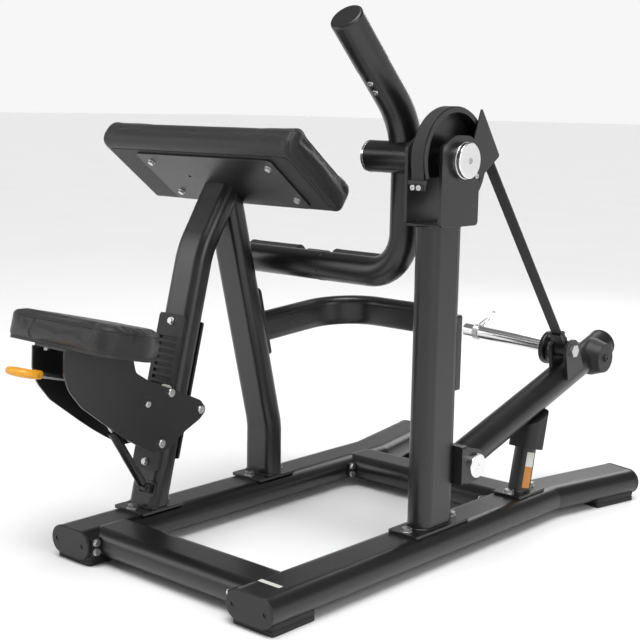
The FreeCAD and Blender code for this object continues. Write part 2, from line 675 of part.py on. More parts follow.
for side in (-1, 1):
    span = sorted((-5.0 + side * GRIP_IN, -5.0 + side * GRIP_OUT))
    body = x_cyl(span, GRIP_Y, GRIP_Z, GRIP_R)
    body = body.makeFillet(5.0, [e for e in body.Edges if e.Closed and e.Length > 100])
    grips.append(body.cut(x_cyl(span, GRIP_Y, GRIP_Z, 12.5 + FIT)))
    end = -5.0 + side * (GRIP_OUT + 4)
    lid = x_cyl(sorted((end, end + side * 5.0)), GRIP_Y, GRIP_Z, 17.0)
    grip_caps.append(lid.makeFillet(1.5, [e for e in lid.Edges if abs(e.CenterOfMass.x - end) > 4.9]))

# Cam wheel: dished, with a lip each side of the belt, open where the belt's tail hangs
rim_out = x_cyl(CAM_X, PIVOT_Y, PIVOT_Z, CAM_R)
rim_in = x_cyl((CAM_X[0] - 1, CAM_X[1] + 1), PIVOT_Y, PIVOT_Z, CAM_R - 8)
web = x_cyl((CAM_X[0], CAM_X[0] + 6), PIVOT_Y, PIVOT_Z, CAM_R - 4)
hub = x_cyl((CAM_X[0], CAM_X[1] - 2), PIVOT_Y, PIVOT_Z, 28.0)
lips = []
for span in ((CAM_X[0], CAM_X[0] + 2.6), (CAM_X[1] - 2.6, CAM_X[1])):
    lip = x_cyl(span, PIVOT_Y, PIVOT_Z, CAM_R + 2.5)
    lips.append(lip.cut(x_cyl(span, PIVOT_Y, PIVOT_Z, CAM_R - 8)))
CAM_GAP_TOP = PIVOT_Z - 36.0
cam_gap = box((CAM_X[0] - 1, CAM_X[1] + 1), (PIVOT_Y - 130, PIVOT_Y - 8), (PIVOT_Z - 130, CAM_GAP_TOP))
cam = cut(fuse([rim_out.cut(rim_in), web, hub] + lips), [axle, cam_gap])

# Flat belt: wrapped length on the cam, then the straight run to the lever
BELT_IN = CAM_R
BELT_OUT = CAM_R + BELT_T
BELT_MID = CAM_R + BELT_T / 2
lever_dir = yz_dir(LEVER_DEG)
lever_up = yz_dir(LEVER_DEG + 90)
lever_pivot = vec(LEVER_X, LEVER_Y, LEVER_Z)
clevis = lever_pivot + lever_dir * CLEVIS_AT + lever_up * CLEVIS_UP
clevis.x = CLEVIS_X
pivot = vec(CLEVIS_X, PIVOT_Y, PIVOT_Z)
to_clevis = clevis - pivot
tangent_angle = math.atan2(to_clevis.z, to_clevis.y) + math.acos(BELT_MID / to_clevis.Length)
tangent = yz_dir(math.degrees(tangent_angle))
touch = pivot + tangent * BELT_MID
run_dir = (clevis - touch).normalize()
run_len = (clevis - touch).Length
CLAMP_LEN = 44.0
belt_w = BELT_X[1] - BELT_X[0]
belt_run = slab(vec(BELT_X[0], touch.y, touch.z) - tangent * (BELT_T / 2) + run_dir * 0.5, X_AXIS, run_dir,
                ((0, 0), (belt_w, 0), (belt_w, run_len - 20.5), (0, run_len - 20.5)), 0, BELT_T)


def arc_band(r_in, r_out, x_span, from_deg, to_deg):
    """Band about the upper pivot between two angles measured from +Y."""
    near, far = x_span
    corners = ((near, r_in), (far, r_in), (far, r_out), (near, r_out), (near, r_in))
    profile = Part.makePolygon([vec(x, PIVOT_Y + r, PIVOT_Z) for x, r in corners])
    centre = vec(0, PIVOT_Y, PIVOT_Z)
    band = Part.Face(profile).revolve(centre, X_AXIS, to_deg - from_deg)
    band.rotate(centre, X_AXIS, from_deg)
    return band


TOUCH_DEG = math.degrees(tangent_angle)
tail_y = (PIVOT_Y - BELT_OUT, PIVOT_Y - BELT_IN)
TAIL_LEN = 58.0
belt_tail = box(BELT_X, tail_y, (PIVOT_Z - TAIL_LEN, PIVOT_Z))
belt_wrap = fuse((arc_band(BELT_IN, BELT_OUT, BELT_X, TOUCH_DEG, BELT_REAR_DEG), belt_tail))

# Upper belt clamp: a loop round the tail, and two plates bolted through it
LOOP_Z = (PIVOT_Z - 47.0, PIVOT_Z - 39.0)
loop_outer = box((BELT_X[0] - 5, BELT_X[1] + 5), (tail_y[0] - 4, tail_y[1] + 4), LOOP_Z)
loop_inner = box((BELT_X[0] - 1, BELT_X[1] + 1), (tail_y[0] - 0.5, tail_y[1] + 0.5), LOOP_Z)
loop_bridge = box((BELT_X[0] - 1, BELT_X[1] + 1), (tail_y[1], tail_y[1] + 1), LOOP_Z)
belt_loop = fuse((loop_outer.cut(loop_inner), loop_bridge))
clamp_z = (PIVOT_Z - TAIL_LEN - 1.0, PIVOT_Z - 48.5)
clamp_front = box((BELT_X[0] - 1, BELT_X[1] + 1), (tail_y[0] - 3, tail_y[0]), clamp_z)
clamp_back = box((BELT_X[0] - 1, BELT_X[1] + 1), (tail_y[1], tail_y[1] + 6), (clamp_z[0], LOOP_Z[0]))
clamp_bolts = []
for x in (537.5, 552.5):
    clamp_base = vec(x, tail_y[0] - 3, PIVOT_Z - 53.5)
    clamp_bolts.append(button_bolt(clamp_base, Y_AXIS * -1.0, 6.0, 12.0))
upper_clamp = [cut(clamp_front, clamp_bolts), cut(fuse((clamp_back, belt_loop)), clamp_bolts)]
belt_wrap = cut(belt_wrap, clamp_bolts + [belt_loop])

# Hub caps on the axle ends
hub_ring = x_cyl((HOUSING_X[1] + 8.6, HOUSING_X[1] + 12.0), PIVOT_Y, PIVOT_Z, 38.0)
hub_cap = x_cyl((HOUSING_X[1] + 11.0, HOUSING_X[1] + 22.0), PIVOT_Y, PIVOT_Z, 37.0)
hub_cap = hub_cap.makeFillet(2.5, [e for e in hub_cap.Edges if e.CenterOfMass.x > HOUSING_X[1] + 21.9])
hub_cap = fuse((hub_cap, hub_ring)).cut(axle)
hub_cap = hub_cap.cut(x_cyl((HOUSING_X[1] + 19.0, HOUSING_X[1] + 30.0), PIVOT_Y, PIVOT_Z, 7.0))
left_cap = x_cyl((PIVOT_TUBE_X[0] - 7.0, PIVOT_TUBE_X[0]), PIVOT_Y, PIVOT_Z, 35.0)
left_cap = rounded(left_cap, 2.0, lambda e: e.CenterOfMass.x < PIVOT_TUBE_X[0] - 6.9)
hub_screw = button_bolt(vec(HOUSING_X[1] + 19.0, PIVOT_Y, PIVOT_Z), X_AXIS, 6.0, 16.0)
axle = axle.cut(hub_screw)
hub_cap = hub_cap.cut(hub_screw)

# ---------------------------------------------------------------- weight lever
LEVER_HUB_R = 28.0
lever_run = cyl(lever_pivot + lever_dir * 8.0, lever_dir, LEVER_R, LEVER_LEN - 8.0)
lever_bore = cyl(lever_pivot + lever_dir * 8.0, lever_dir, LEVER_R - 3.0, LEVER_LEN - 8.0)
lever_hub_span = (LEVER_X - 36.0, LEVER_X + 36.0)
lever_hub_outer = x_cyl(lever_hub_span, LEVER_Y, LEVER_Z, LEVER_HUB_R)
horn_hub_c = lever_pivot + lever_dir * HORN_AT
horn_dir = vec(-math.cos(math.radians(HORN_TILT_DEG)), 0, math.sin(math.radians(HORN_TILT_DEG)))
HUB_R = 30.0
horn_hub_outer = x_cyl((430.0, 556.0), horn_hub_c.y, horn_hub_c.z, HUB_R)
lever_tube = largest(cut(lever_run.cut(lever_bore), [lever_hub_outer, horn_hub_outer]))
PIN_R = 12.5
lever_hub = lever_hub_outer.cut(x_cyl(lever_hub_span, LEVER_Y, LEVER_Z, 17.0))
bushes = []
for span in ((lever_hub_span[0], lever_hub_span[0] + 18.0), (lever_hub_span[1] - 18.0, lever_hub_span[1])):
    bushes.append(x_cyl(span, LEVER_Y, LEVER_Z, 17.0).cut(x_cyl(span, LEVER_Y, LEVER_Z, PIN_R + FIT)))

horn_len = (horn_hub_c.x - HORN_TIP_X) / math.cos(math.radians(HORN_TILT_DEG))
horn_start = horn_hub_c + horn_dir * -18.0
horn = cyl(horn_start, horn_dir, HORN_R, horn_len + 18.0)
tip = horn_hub_c + horn_dir * horn_len
horn = horn.makeChamfer(2.0, [e for e in horn.Edges if e.Closed and e.CenterOfMass.distanceToPoint(tip) < 1])
horn_hub = cut(horn_hub_outer, [horn])
stop_flange = cyl(horn_hub_c + horn_dir * 103.0, horn_dir, 42.0, 12.0)
stop_flange = stop_flange.makeFillet(3.0, [e for e in stop_flange.Edges if e.Closed])
stop_flange = largest(cut(stop_flange, [horn, horn_hub_outer]))

cone = Part.makeCone(46.0, 35.0, 34.0, vec(551.0, horn_hub_c.y, horn_hub_c.z), X_AXIS)
collar_base = x_cyl((543.0, 551.0), horn_hub_c.y, horn_hub_c.z, 46.0)
hub_end_cap = fuse((cone, collar_base))
hub_end_cap = rounded(hub_end_cap, 2.0, lambda e: e.Closed and e.CenterOfMass.x > 584.0)
lever_filled = cyl(lever_pivot + lever_dir * 300.0, lever_dir, LEVER_R, LEVER_LEN - 300.0)
hub_end_cap = largest(cut(hub_end_cap, [lever_filled, horn_hub_outer, horn]))
cap_screw = button_bolt(vec(585.0, horn_hub_c.y, horn_hub_c.z), X_AXIS, 10.0, 28.0)
hub_end_cap = hub_end_cap.cut(cap_screw)
horn_hub = largest(horn_hub.cut(cap_screw))
lever_tube = largest(lever_tube.cut(cap_screw))

lever_end = lever_pivot + lever_dir * LEVER_LEN
lever_end_cap = cyl(lever_end, lever_dir, LEVER_R + 0.8, 7.0)
lever_end_cap = lever_end_cap.makeFillet(4.0, [e for e in lever_end_cap.Edges
                                               if (e.CenterOfMass - lever_end).dot(lever_dir) > 6.9])
plug = cyl(lever_end, lever_dir * -1.0, LEVER_R - 3.0, 14.0)
lever_end_cap = cut(fuse((lever_end_cap, plug)), [horn_hub_outer])
hub_end_cap = largest(hub_end_cap.cut(lever_end_cap))

# Clevis ears over the lever for the belt
EAR_T = 8.0
EAR_IN = 17.0
ears = []
for x in (CLEVIS_X - EAR_IN - EAR_T, CLEVIS_X + EAR_IN):
    origin = vec(x, lever_pivot.y, lever_pivot.z) + lever_dir * CLEVIS_AT
    ear_top = CLEVIS_UP + 24
    ear = slab(origin, lever_dir, lever_up, ((-34, 10), (40, 10), (26, ear_top), (-25, ear_top)),
               (2, 2, 23, 23), EAR_T)
    ears.append(ear)
clevis_pin = x_cyl((CLEVIS_X - 25.0, CLEVIS_X + 25.0), clevis.y, clevis.z, 9.0)
pin_head = hex_prism(vec(CLEVIS_X + 25.0, clevis.y, clevis.z), X_AXIS, 27.0, 9.0)
pin_nut = hex_prism(vec(CLEVIS_X - 25.0, clevis.y, clevis.z), X_AXIS * -1.0, 27.0, 9.0)
clevis_pin = fuse((clevis_pin, pin_head, pin_nut))
clevis_ears = [cut(ear, [lever_filled, x_cyl((480, 600), clevis.y, clevis.z, 9.0)]) for ear in ears]

# Belt's lower clamp: eye on the pin and two plates bolted through the belt
eye = x_cyl((CLEVIS_X - 16.0, CLEVIS_X + 16.0), clevis.y, clevis.z, 17.0)
back_plate = slab(clevis - X_AXIS * 15.0 - tangent * (BELT_T / 2 + 7.0), X_AXIS, run_dir * -1.0,
                  ((0, 0), (30, 0), (30, CLAMP_LEN + 12), (0, CLAMP_LEN + 12)), 1.0, -7.0)
front_plate = slab(clevis - X_AXIS * 15.0 + tangent * (BELT_T / 2) - run_dir * 18.5, X_AXIS, run_dir * -1.0,
                   ((0, 0), (30, 0), (30, CLAMP_LEN - 6), (0, CLAMP_LEN - 6)), 3.0, -6.0)
pin_hole = x_cyl((480, 600), clevis.y, clevis.z, 9.0 + FIT)
belt_volume = slab(clevis - X_AXIS * 20.0 - tangent * (BELT_T / 2) - run_dir * 20.0, X_AXIS, run_dir * -1.0,
                   ((0, 0), (40, 0), (40, 90), (0, 90)), 0, -BELT_T)
lower_bolts = []
for x in (-8.0, 8.0):
    for along in (28.0, 46.0):
        base = clevis + X_AXIS * x - run_dir * along + tangent * (BELT_T / 2 + 6.0)
        lower_bolts.append(hex_bolt(base, tangent, 6.0, 14.0))
belt_eye = cut(fuse((eye, back_plate)), [pin_hole, belt_volume] + lower_bolts)
belt_front_plate = cut(front_plate, [pin_hole, x_cyl((480, 600), clevis.y, clevis.z, 17.0)] + lower_bolts)
belt_run = cut(belt_run, lower_bolts)

# Bracket on the upright that carries the lever
ear_z = (LEVER_Z - 36.0, LEVER_Z + 48.0)
bracket_back = slab(vec(LEVER_X - 47.0, up_face_y - 9, ear_z[0]), X_AXIS, Z_AXIS,
                    ((0, 0), (94, 0), (94, 84), (0, 84)), 6.0, -19.0)
bracket_back = bracket_back.cut(UPRIGHT_SOLID)
bracket_ears = []
for x_span in ((LEVER_X - 47.0, LEVER_X - 37.0), (LEVER_X + 37.0, LEVER_X + 47.0)):
    ear_outline = ((up_face_y + 4, ear_z[0]), (LEVER_Y + 32, ear_z[0]), (LEVER_Y + 32, LEVER_Z + 32),
                   (LEVER_Y, LEVER_Z + 36), (up_face_y + 4, ear_z[1]))
    bracket_ears.append(side_plate(ear_outline, (2, 31, 31, 8, 2), x_span))
lever_pin = x_cyl((LEVER_X - 49.0, LEVER_X + 49.0), LEVER_Y, LEVER_Z, PIN_R)
bracket_bolts = []
for z in (ear_z[0] + 12.0, ear_z[1] - 12.0):
    bracket_bolts.append(hex_bolt(vec(LEVER_X, up_face_y + 10, z), Y_AXIS, 8.0, 16.0))
lever_bracket = cut(fuse([bracket_back] + bracket_ears), [lever_pin] + bracket_bolts)
sweep_room = x_cyl((LEVER_X - 36.8, LEVER_X + 36.8), LEVER_Y, LEVER_Z, 29.5)
lever_bracket = lever_bracket.cut(sweep_room)
main_upright = cut(main_upright, bracket_bolts)
lever_caps = []
for x, side in ((LEVER_X + 47.0, 1), (LEVER_X - 47.0, -1)):
    lid = x_cyl(sorted((x, x + side * 9.0)), LEVER_Y, LEVER_Z, 27.0)
    lid = lid.makeFillet(2.5, [e for e in lid.Edges if abs(e.CenterOfMass.x - x) > 8.9])
    lid = lid.cut(x_cyl(sorted((x + side * 7.0, x + side * 12.0)), LEVER_Y, LEVER_Z, 5.0))
    lever_caps.append(lid.cut(lever_pin))

# ---------------------------------------------------------------- stop post
stop_dir = yz_dir(90 - STOP_LEAN_DEG)
stop_base = vec(LEVER_X, STOP_Y, PLATE_TOP)
lever_low = lever_pivot - lever_up * (LEVER_R + FIT)
reach = (lever_low - stop_base).dot(lever_up) / stop_dir.dot(lever_up)
above_lever = half_space(lever_low, lever_up)
stop_run = cyl(stop_base - stop_dir * 20.0, stop_dir, 25.0, reach)
stop_bore = cyl(stop_base - stop_dir * 20.0, stop_dir, 22.0, reach - 6.0)
cap_bottom = stop_base + stop_dir * (reach - 76.0)
cap_face = section(cap_bottom, X_AXIS, X_AXIS.cross(stop_dir), 70.0, 70.0, 22.0)
stop_rubber = Part.Face(cap_face).extrude(stop_dir * 140.0).cut(above_lever)
stop_tube = largest(cut(stop_run.cut(stop_bore), [below_base]))
stop_post = cut(fuse((stop_tube, base_plate(LEVER_X, 904.0, 74.0, 110.0))), base_holes)
stop_rubber = cut(stop_rubber, [cyl(stop_base - stop_dir * 20.0, stop_dir, 25.0, reach)])

# ---------------------------------------------------------------- seat carriage
seat_f = yz_dir(-SEAT_TILT_DEG)
seat_n = yz_dir(90 - SEAT_TILT_DEG)
seat_org = vec(0, SEAT_ORG_Y, SEAT_ORG_Z)
SIDE_OUTLINE = ((-47, 467), (-49, 420), (-38, 385), (-6, 345), (67, 289), (104, 262), (138, 240),
                (186, 212), (222, 212), (275, 244), (323, 266), (345, 285), (325, 309), (299, 321),
                (171, 377), (138, 398), (132, 425.6))
SIDE_RADII = (2, 20, 60, 60, 60, 60, 60, 16, 16, 30, 14, 14, 14, 30, 16, 16, 2)
side_plates = [side_plate(SIDE_OUTLINE, SIDE_RADII, span) for span in (SIDE_X, (-SIDE_X[1], -SIDE_X[0]))]
top_plate = slab(seat_org + seat_f * 6.0 - X_AXIS * SIDE_X[1], X_AXIS, seat_f,
                 ((0, 0), (2 * SIDE_X[1], 0), (2 * SIDE_X[1], 168), (0, 168)), 4.0, -5.0)
side_plates = [cut(plate, [half_space(seat_org - seat_n * 5.0, seat_n)]) for plate in side_plates]

# Roller axles: the upper rear one is two stubs, so that the pull rod passes between them
UPPER_REAR, LOWER_REAR, FRONT = ROLLERS
STUB_X = 31.0
AXLE_BOLT_R = 6.0
ROD_GUIDE = (PAWL_Y, PAWL_Z)
BOLT_END = SIDE_X[1] + 2
carriage_axles = [x_cyl((-BOLT_END, BOLT_END), y, z, AXLE_BOLT_R) for y, z in (LOWER_REAR, FRONT, ROD_GUIDE)]
for span in ((-BOLT_END, -STUB_X), (STUB_X, BOLT_END)):
    carriage_axles.append(x_cyl(span, *UPPER_REAR, AXLE_BOLT_R))
carriage_nuts = []
for (y, z), size in zip(ROLLERS + (ROD_GUIDE,), (9.5, 9.5, 9.5, 7.5)):
    for side in (-1, 1):
        face = side * SIDE_X[1]
        dome = x_cyl(sorted((face, face + side * 7.0)), y, z, size)
        dome = rounded(dome, 3.0, lambda e: abs(e.CenterOfMass.x - face) > 6.9)
        carriage_nuts.append(dome.cut(x_cyl((-BOLT_END, BOLT_END), y, z, AXLE_BOLT_R)))
side_plates = [cut(plate, carriage_axles) for plate in side_plates]
carriage_frame = fuse(side_plates + [top_plate])


def off_post(point):
    """Distance of a (y, z) point behind the seat post's centre line."""
    return (vec(0, *point) - post_base).dot(POST_BACK)


def roller(span, centre, radius):
    return x_cyl(span, *centre, radius).cut(x_cyl(span, *centre, AXLE_BOLT_R + FIT))


ROLL_GAP = 0.1
rear_rollers = []
for centre in (UPPER_REAR, LOWER_REAR):
    r = off_post(centre) - POST_FACE - RACK_BACK - ROLL_GAP
    rear_rollers.append([roller(span, centre, r) for span in ((-44.0, -32.0), (32.0, 44.0))])
front_roller = roller((-27.0, 27.0), FRONT, -off_post(FRONT) - POST_FACE - STRIP_T - ROLL_GAP)
spacers = []
for y, z in (UPPER_REAR, LOWER_REAR):
    for span in ((-SIDE_X[0] + 0.3, -44.6), (44.6, SIDE_X[0] - 0.3)):
        spacers.append(x_cyl(span, y, z, 10.0).cut(x_cyl(span, y, z, AXLE_BOLT_R)))

seat_points = ((-172, 4), (172, 4), (172, 128), (74, 240), (-74, 240), (-172, 128))
seat_radii = (34.0, 34.0, 70.0, 16.0, 16.0, 70.0)
BOARD_T = 12.0
SEAT_FROM = 3.0
SEAT_T = 62.0
board_points = [(x * 0.95, 10 + (f - 4) * 0.955) for x, f in seat_points]
seat_board = slab(seat_org, X_AXIS, seat_f, board_points, [r - 6 for r in seat_radii], BOARD_T)
cushion_org = seat_org + seat_n * SEAT_FROM
seat_cushion = slab(cushion_org, X_AXIS, seat_f, seat_points, seat_radii, SEAT_T)
cushion_top = cushion_org + seat_n * SEAT_T
seat_cushion = rounded(seat_cushion, 14.0, lambda e: (e.CenterOfMass - cushion_top).dot(seat_n) > -0.1)
seat_cushion = seat_cushion.cut(seat_board)
seat_bolts = []
for x in (-36.0, 36.0):
    for f in (26.0, 150.0):
        base = seat_org + X_AXIS * x + seat_f * f - seat_n * 5.0
        seat_bolts.append(hex_bolt(base, seat_n * -1.0, 8.0, 14.0))
carriage_frame = cut(carriage_frame, seat_bolts)
seat_board = cut(seat_board, seat_bolts)

# Release: a sprung pull rod with a tooth in the rack and a ring grip at the rear
ROD_X = -18.0
ROD_R = 6.0
ROD_GAP = 0.08
TOOTH_ROOM = 0.5
tooth_off = POST_FACE + RACK_BACK + TOOTH_ROOM
GUIDE_OFF = off_post(ROD_GUIDE)
GUIDE_T = 14.0
ROD_END_OFF = 363.0
tooth_base = on_post(PAWL_HEIGHT, tooth_off, ROD_X)
tooth_half = TOOTH / 2 - 0.5
tooth = slab(tooth_base - X_AXIS * 8.0, X_AXIS, post_dir,
             ((0, -tooth_half), (16, -tooth_half), (16, tooth_half), (0, tooth_half)), 0, 12.0)
rod_start = on_post(PAWL_HEIGHT, tooth_off + 8.0, ROD_X)
release_rod = fuse((tooth, cyl(rod_start, POST_BACK, ROD_R, ROD_END_OFF - tooth_off - 8.0)))
rod_at_guide = on_post(PAWL_HEIGHT, GUIDE_OFF, ROD_X)
COLLAR_OFF = GUIDE_OFF - GUIDE_T / 2 - 30.0
collar_base = on_post(PAWL_HEIGHT, COLLAR_OFF - 5.0, ROD_X)
release_rod = fuse((release_rod, cyl(collar_base, POST_BACK, 10.0, 5.0)))
GUIDE_DROP = (rod_at_guide - vec(0, *ROD_GUIDE)).dot(post_dir)
guide_low = vec(ROD_X, *ROD_GUIDE) - POST_BACK * (GUIDE_T / 2) - post_dir * 10.0
rod_guide = slab(guide_low, X_AXIS, post_dir,
                 ((-13, 0), (13, 0), (13, GUIDE_DROP + 22), (-13, GUIDE_DROP + 22)), 5.0, GUIDE_T)
rod_guide = cut(rod_guide, [cyl(rod_start, POST_BACK, ROD_R + ROD_GAP, 400.0),
                            x_cyl((-60, 60), *ROD_GUIDE, AXLE_BOLT_R)])
RING_R = 26.0
GRIP_WIRE_R = 8.0
ring_c = on_post(PAWL_HEIGHT, ROD_END_OFF + RING_R, ROD_X)
ring = Part.makeTorus(RING_R, GRIP_WIRE_R, ring_c, post_dir)
socket = cyl(on_post(PAWL_HEIGHT, ROD_END_OFF - 20.0, ROD_X), POST_BACK, 9.5, 24.0)
release_handle = cut(fuse((ring, socket)), [release_rod])
SPRING_TURNS = 6
SPRING_WIRE_R = 0.9
spring_len = 30.0 - 2 * SPRING_WIRE_R - 0.4
helix = Part.makeHelix(spring_len / SPRING_TURNS, spring_len, ROD_R + SPRING_WIRE_R + 0.5)
spring_base = on_post(PAWL_HEIGHT, COLLAR_OFF + SPRING_WIRE_R + 0.2, ROD_X)
helix.Placement = FreeCAD.Placement(spring_base, FreeCAD.Rotation(Z_AXIS, POST_BACK))
helix_start = helix.Vertexes[0].Point
from_axis = helix_start - spring_base
wire_ring = Part.Wire(Part.makeCircle(SPRING_WIRE_R, helix_start, POST_BACK.cross(from_axis)))
release_spring = Part.Wire(helix.Edges).makePipeShell([wire_ring], True, True)

# Gas strut beside the pull rod
strut_low = vec(STRUT_X, *STRUT_LOW)
strut_high = vec(STRUT_X, *STRUT_HIGH)
strut_dir = (strut_high - strut_low).normalize()
strut_len = (strut_high - strut_low).Length
STRUT_PIN_R = 4.0
BARREL_R = 10.0
BARREL_END = 168.0
EYE_CLEARANCE = 5.0
ROD_FROM = 48.0
low_eye = x_cyl((STRUT_X - 5, STRUT_X + 5), strut_low.y, strut_low.z, 9.0)
barrel = cyl(strut_low + strut_dir * 14.0, strut_dir, BARREL_R, BARREL_END - 14.0)
barrel = rounded(barrel, 2.0, lambda e: e.Closed)
neck = cyl(strut_low, strut_dir, 4.5, 16.0)
rod_bore = cyl(strut_low + strut_dir * 18.0, strut_dir, STRUT_PIN_R + FIT, BARREL_END)
strut_cylinder = cut(fuse((low_eye, neck, barrel)),
                     [x_cyl((0, 60), strut_low.y, strut_low.z, STRUT_PIN_R + FIT), rod_bore])
strut_stem = cyl(strut_low + strut_dir * ROD_FROM, strut_dir, STRUT_PIN_R, strut_len - ROD_FROM - 10.0)
high_eye = x_cyl((STRUT_X - 5, STRUT_X + 5), strut_high.y, strut_high.z, STRUT_PIN_R + EYE_CLEARANCE + 4.0)
eye_room = x_cyl((0, 60), strut_high.y, strut_high.z, STRUT_PIN_R + EYE_CLEARANCE)
strut_rod = cut(fuse((strut_stem, high_eye)), [eye_room])
strut_pin = fuse((x_cyl((STRUT_X - 9, SIDE_X[0]), strut_high.y, strut_high.z, STRUT_PIN_R),
                  x_cyl((STRUT_X + 6, SIDE_X[0]), strut_high.y, strut_high.z, 9.0)))
foot_h = (strut_low - post_base).dot(post_dir)
foot_off = off_post(STRUT_LOW)
foot_plate = slab(on_post(foot_h - 18, POST_FACE, STRUT_X - 17), X_AXIS, post_dir,
                  ((0, 0), (34, 0), (34, 34), (0, 34)), 3.0, 4.0)
foot_ears = []
for x in (STRUT_X - 10.0, STRUT_X + 6.0):
    foot_ears.append(slab(on_post(foot_h, POST_FACE, x), POST_BACK, post_dir,
                          ((1, -10), (foot_off - POST_FACE + 9, -9), (foot_off - POST_FACE + 9, 9), (1, 10)),
                          (0, 8, 8, 0), -4.0))
foot_pin = x_cyl((STRUT_X - 13, STRUT_X + 13), strut_low.y, strut_low.z, STRUT_PIN_R)
strut_bracket = cut(fuse([foot_plate] + foot_ears + [foot_pin]), [POST_SOLID, seat_rack])

# ---------------------------------------------------------------- spring collar on the horn
COLLAR_FROM_TIP = 46.0
WIRE_R = 2.0
COIL_PITCH = 3.8
COIL_TURNS = 4
collar_at = tip - horn_dir * COLLAR_FROM_TIP
coil_r = HORN_R + WIRE_R + 0.08
UP = (Z_AXIS - horn_dir * horn_dir.z).normalize()
SIDEWAYS = horn_dir.cross(UP)
collar_turns = [Part.makeTorus(coil_r, WIRE_R, collar_at + horn_dir * (COIL_PITCH * k), horn_dir)
                for k in range(COIL_TURNS)]
spring_collar = [fuse(collar_turns)]
coil_ends = (collar_at, collar_at + horn_dir * (COIL_PITCH * (COIL_TURNS - 1)))
EAR_LONG = 44.5
EAR_SHORT = 36.5
for centre, lean_deg, shift in zip(coil_ends, (44.0, 68.0), (-5.5, 5.5)):
    lean = math.radians(lean_deg)
    outward = UP * math.cos(lean) + SIDEWAYS * math.sin(lean)
    root = centre + outward * (coil_r + WIRE_R + 0.3) + horn_dir * (shift * 0.5)
    bend = root + outward * EAR_LONG + horn_dir * shift
    hoop = Part.makeTorus(abs(shift), WIRE_R, bend, outward.cross(horn_dir))
    ear = (hoop.common(cyl(bend, outward, 12.0, 12.0)), cyl(root, outward, WIRE_R, EAR_LONG),
           cyl(bend + horn_dir * shift - outward * EAR_SHORT, outward, WIRE_R, EAR_SHORT))
    spring_collar.append(fuse(ear))

add("left_rail", left_rail)
add("right_rail", right_rail)
add("rear_cross_member", cross_nodes[0])
add("front_cross_member", cross_nodes[1])
add("rail_end_caps", *caps)
add("end_cap_screws", *screws)
add("rubber_feet", *feet)
add("frame_bolts", *cross_bolt_solids, *base_bolts, *brace_bolts, *bracket_bolts, *rack_bolts,
    *strip_screws, *fin_bolts)
add("main_upright", main_upright)
add("seat_post", seat_post)
add("front_leg", front_leg)
add("seat_rack", seat_rack)
add("guide_strip", guide_strip)
add("strut_bracket", strut_bracket)
add("brace_tube", brace)
add("arm_pad", arm_pad)
add("arm_pad_board", pad_board)
add("arm_pad_plate", pad_plate)
add("arm_pad_bolts", *pad_bolts)
add("pivot_housing", pivot_housing)
add("pivot_bearings", *bearings)
add("guard_fin", guard_fin)
add("lever_bracket", lever_bracket)
add("lever_pivot_pin", lever_pin, *lever_caps)
add("stop_post", stop_post)
add("stop_rubber", stop_rubber)
add("pivot_axle", axle)
add("pivot_tube", pivot_tube)
add("axle_caps", hub_cap, left_cap)
add("arm_tube", upper_arm, lower_arm, cross_ring)
add("counterweight", counterweight)
add("arm_screws", *weight_screws, *clamp_bolts, hub_screw)
add("arm_end_caps", cross_cap, *grip_caps)
add("grip_carrier", grip_carrier, grip_bar)
add("hand_grips", *grips)
add("cam_wheel", cam)
add("belt_wrap", belt_wrap)
add("upper_belt_clamp", *upper_clamp)
add("belt_run", belt_run)
add("lower_belt_clamp", belt_eye, belt_front_plate, *lower_bolts)
add("lever_tube", lever_tube)
add("lever_hubs", lever_hub, horn_hub, stop_flange)
add("lever_bushes", *bushes)
add("lever_end_caps", lever_end_cap, hub_end_cap, cap_screw)
add("belt_clevis", *clevis_ears)
add("clevis_pin", clevis_pin)
add("weight_horn", horn)
add("spring_collar", *spring_collar)
add("carriage_frame", carriage_frame, rod_guide)
add("carriage_bolts", *carriage_axles, *carriage_nuts, *seat_bolts, *spacers, strut_pin)
add("front_roller", front_roller)
add("upper_rear_rollers", *rear_rollers[0])
add("lower_rear_rollers", *rear_rollers[1])
add("seat_board", seat_board)
add("seat_cushion", seat_cushion)
add("release_rod", release_rod)
add("release_handle", release_handle)
add("release_spring", release_spring)
add("strut_cylinder", strut_cylinder)
add("strut_rod", strut_rod)

for name, shape in NODES.items():
    placed = shape.copy()
    placed.translate(vec(SHIFT_X, SHIFT_Y, 0))
    placed.exportStep("parts/" + name + ".step")
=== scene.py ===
"""Looks of the seated arm curl machine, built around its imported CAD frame. Metres throughout."""
import math
import random

import bmesh
import bpy
from mathutils import Matrix, Vector
from mathutils.bvhtree import BVHTree


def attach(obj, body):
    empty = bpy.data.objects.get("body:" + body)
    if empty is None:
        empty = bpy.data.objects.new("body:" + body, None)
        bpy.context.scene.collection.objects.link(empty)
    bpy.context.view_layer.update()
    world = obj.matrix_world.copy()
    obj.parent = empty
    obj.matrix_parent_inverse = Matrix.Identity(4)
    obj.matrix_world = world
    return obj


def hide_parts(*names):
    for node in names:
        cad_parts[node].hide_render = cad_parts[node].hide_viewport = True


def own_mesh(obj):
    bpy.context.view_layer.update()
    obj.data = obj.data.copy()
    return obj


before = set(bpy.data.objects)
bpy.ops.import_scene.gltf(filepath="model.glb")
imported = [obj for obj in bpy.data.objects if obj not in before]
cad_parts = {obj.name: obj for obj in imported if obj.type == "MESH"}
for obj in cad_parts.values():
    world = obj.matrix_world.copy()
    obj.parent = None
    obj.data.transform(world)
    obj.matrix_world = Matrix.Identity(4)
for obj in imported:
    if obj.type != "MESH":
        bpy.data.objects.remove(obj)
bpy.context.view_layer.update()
random.seed(7)

# Layout axes of the machine: x from the left rail, y from the rear caps, z from the floor
LAYOUT = Vector((-0.1805, -0.5799, 0.0))


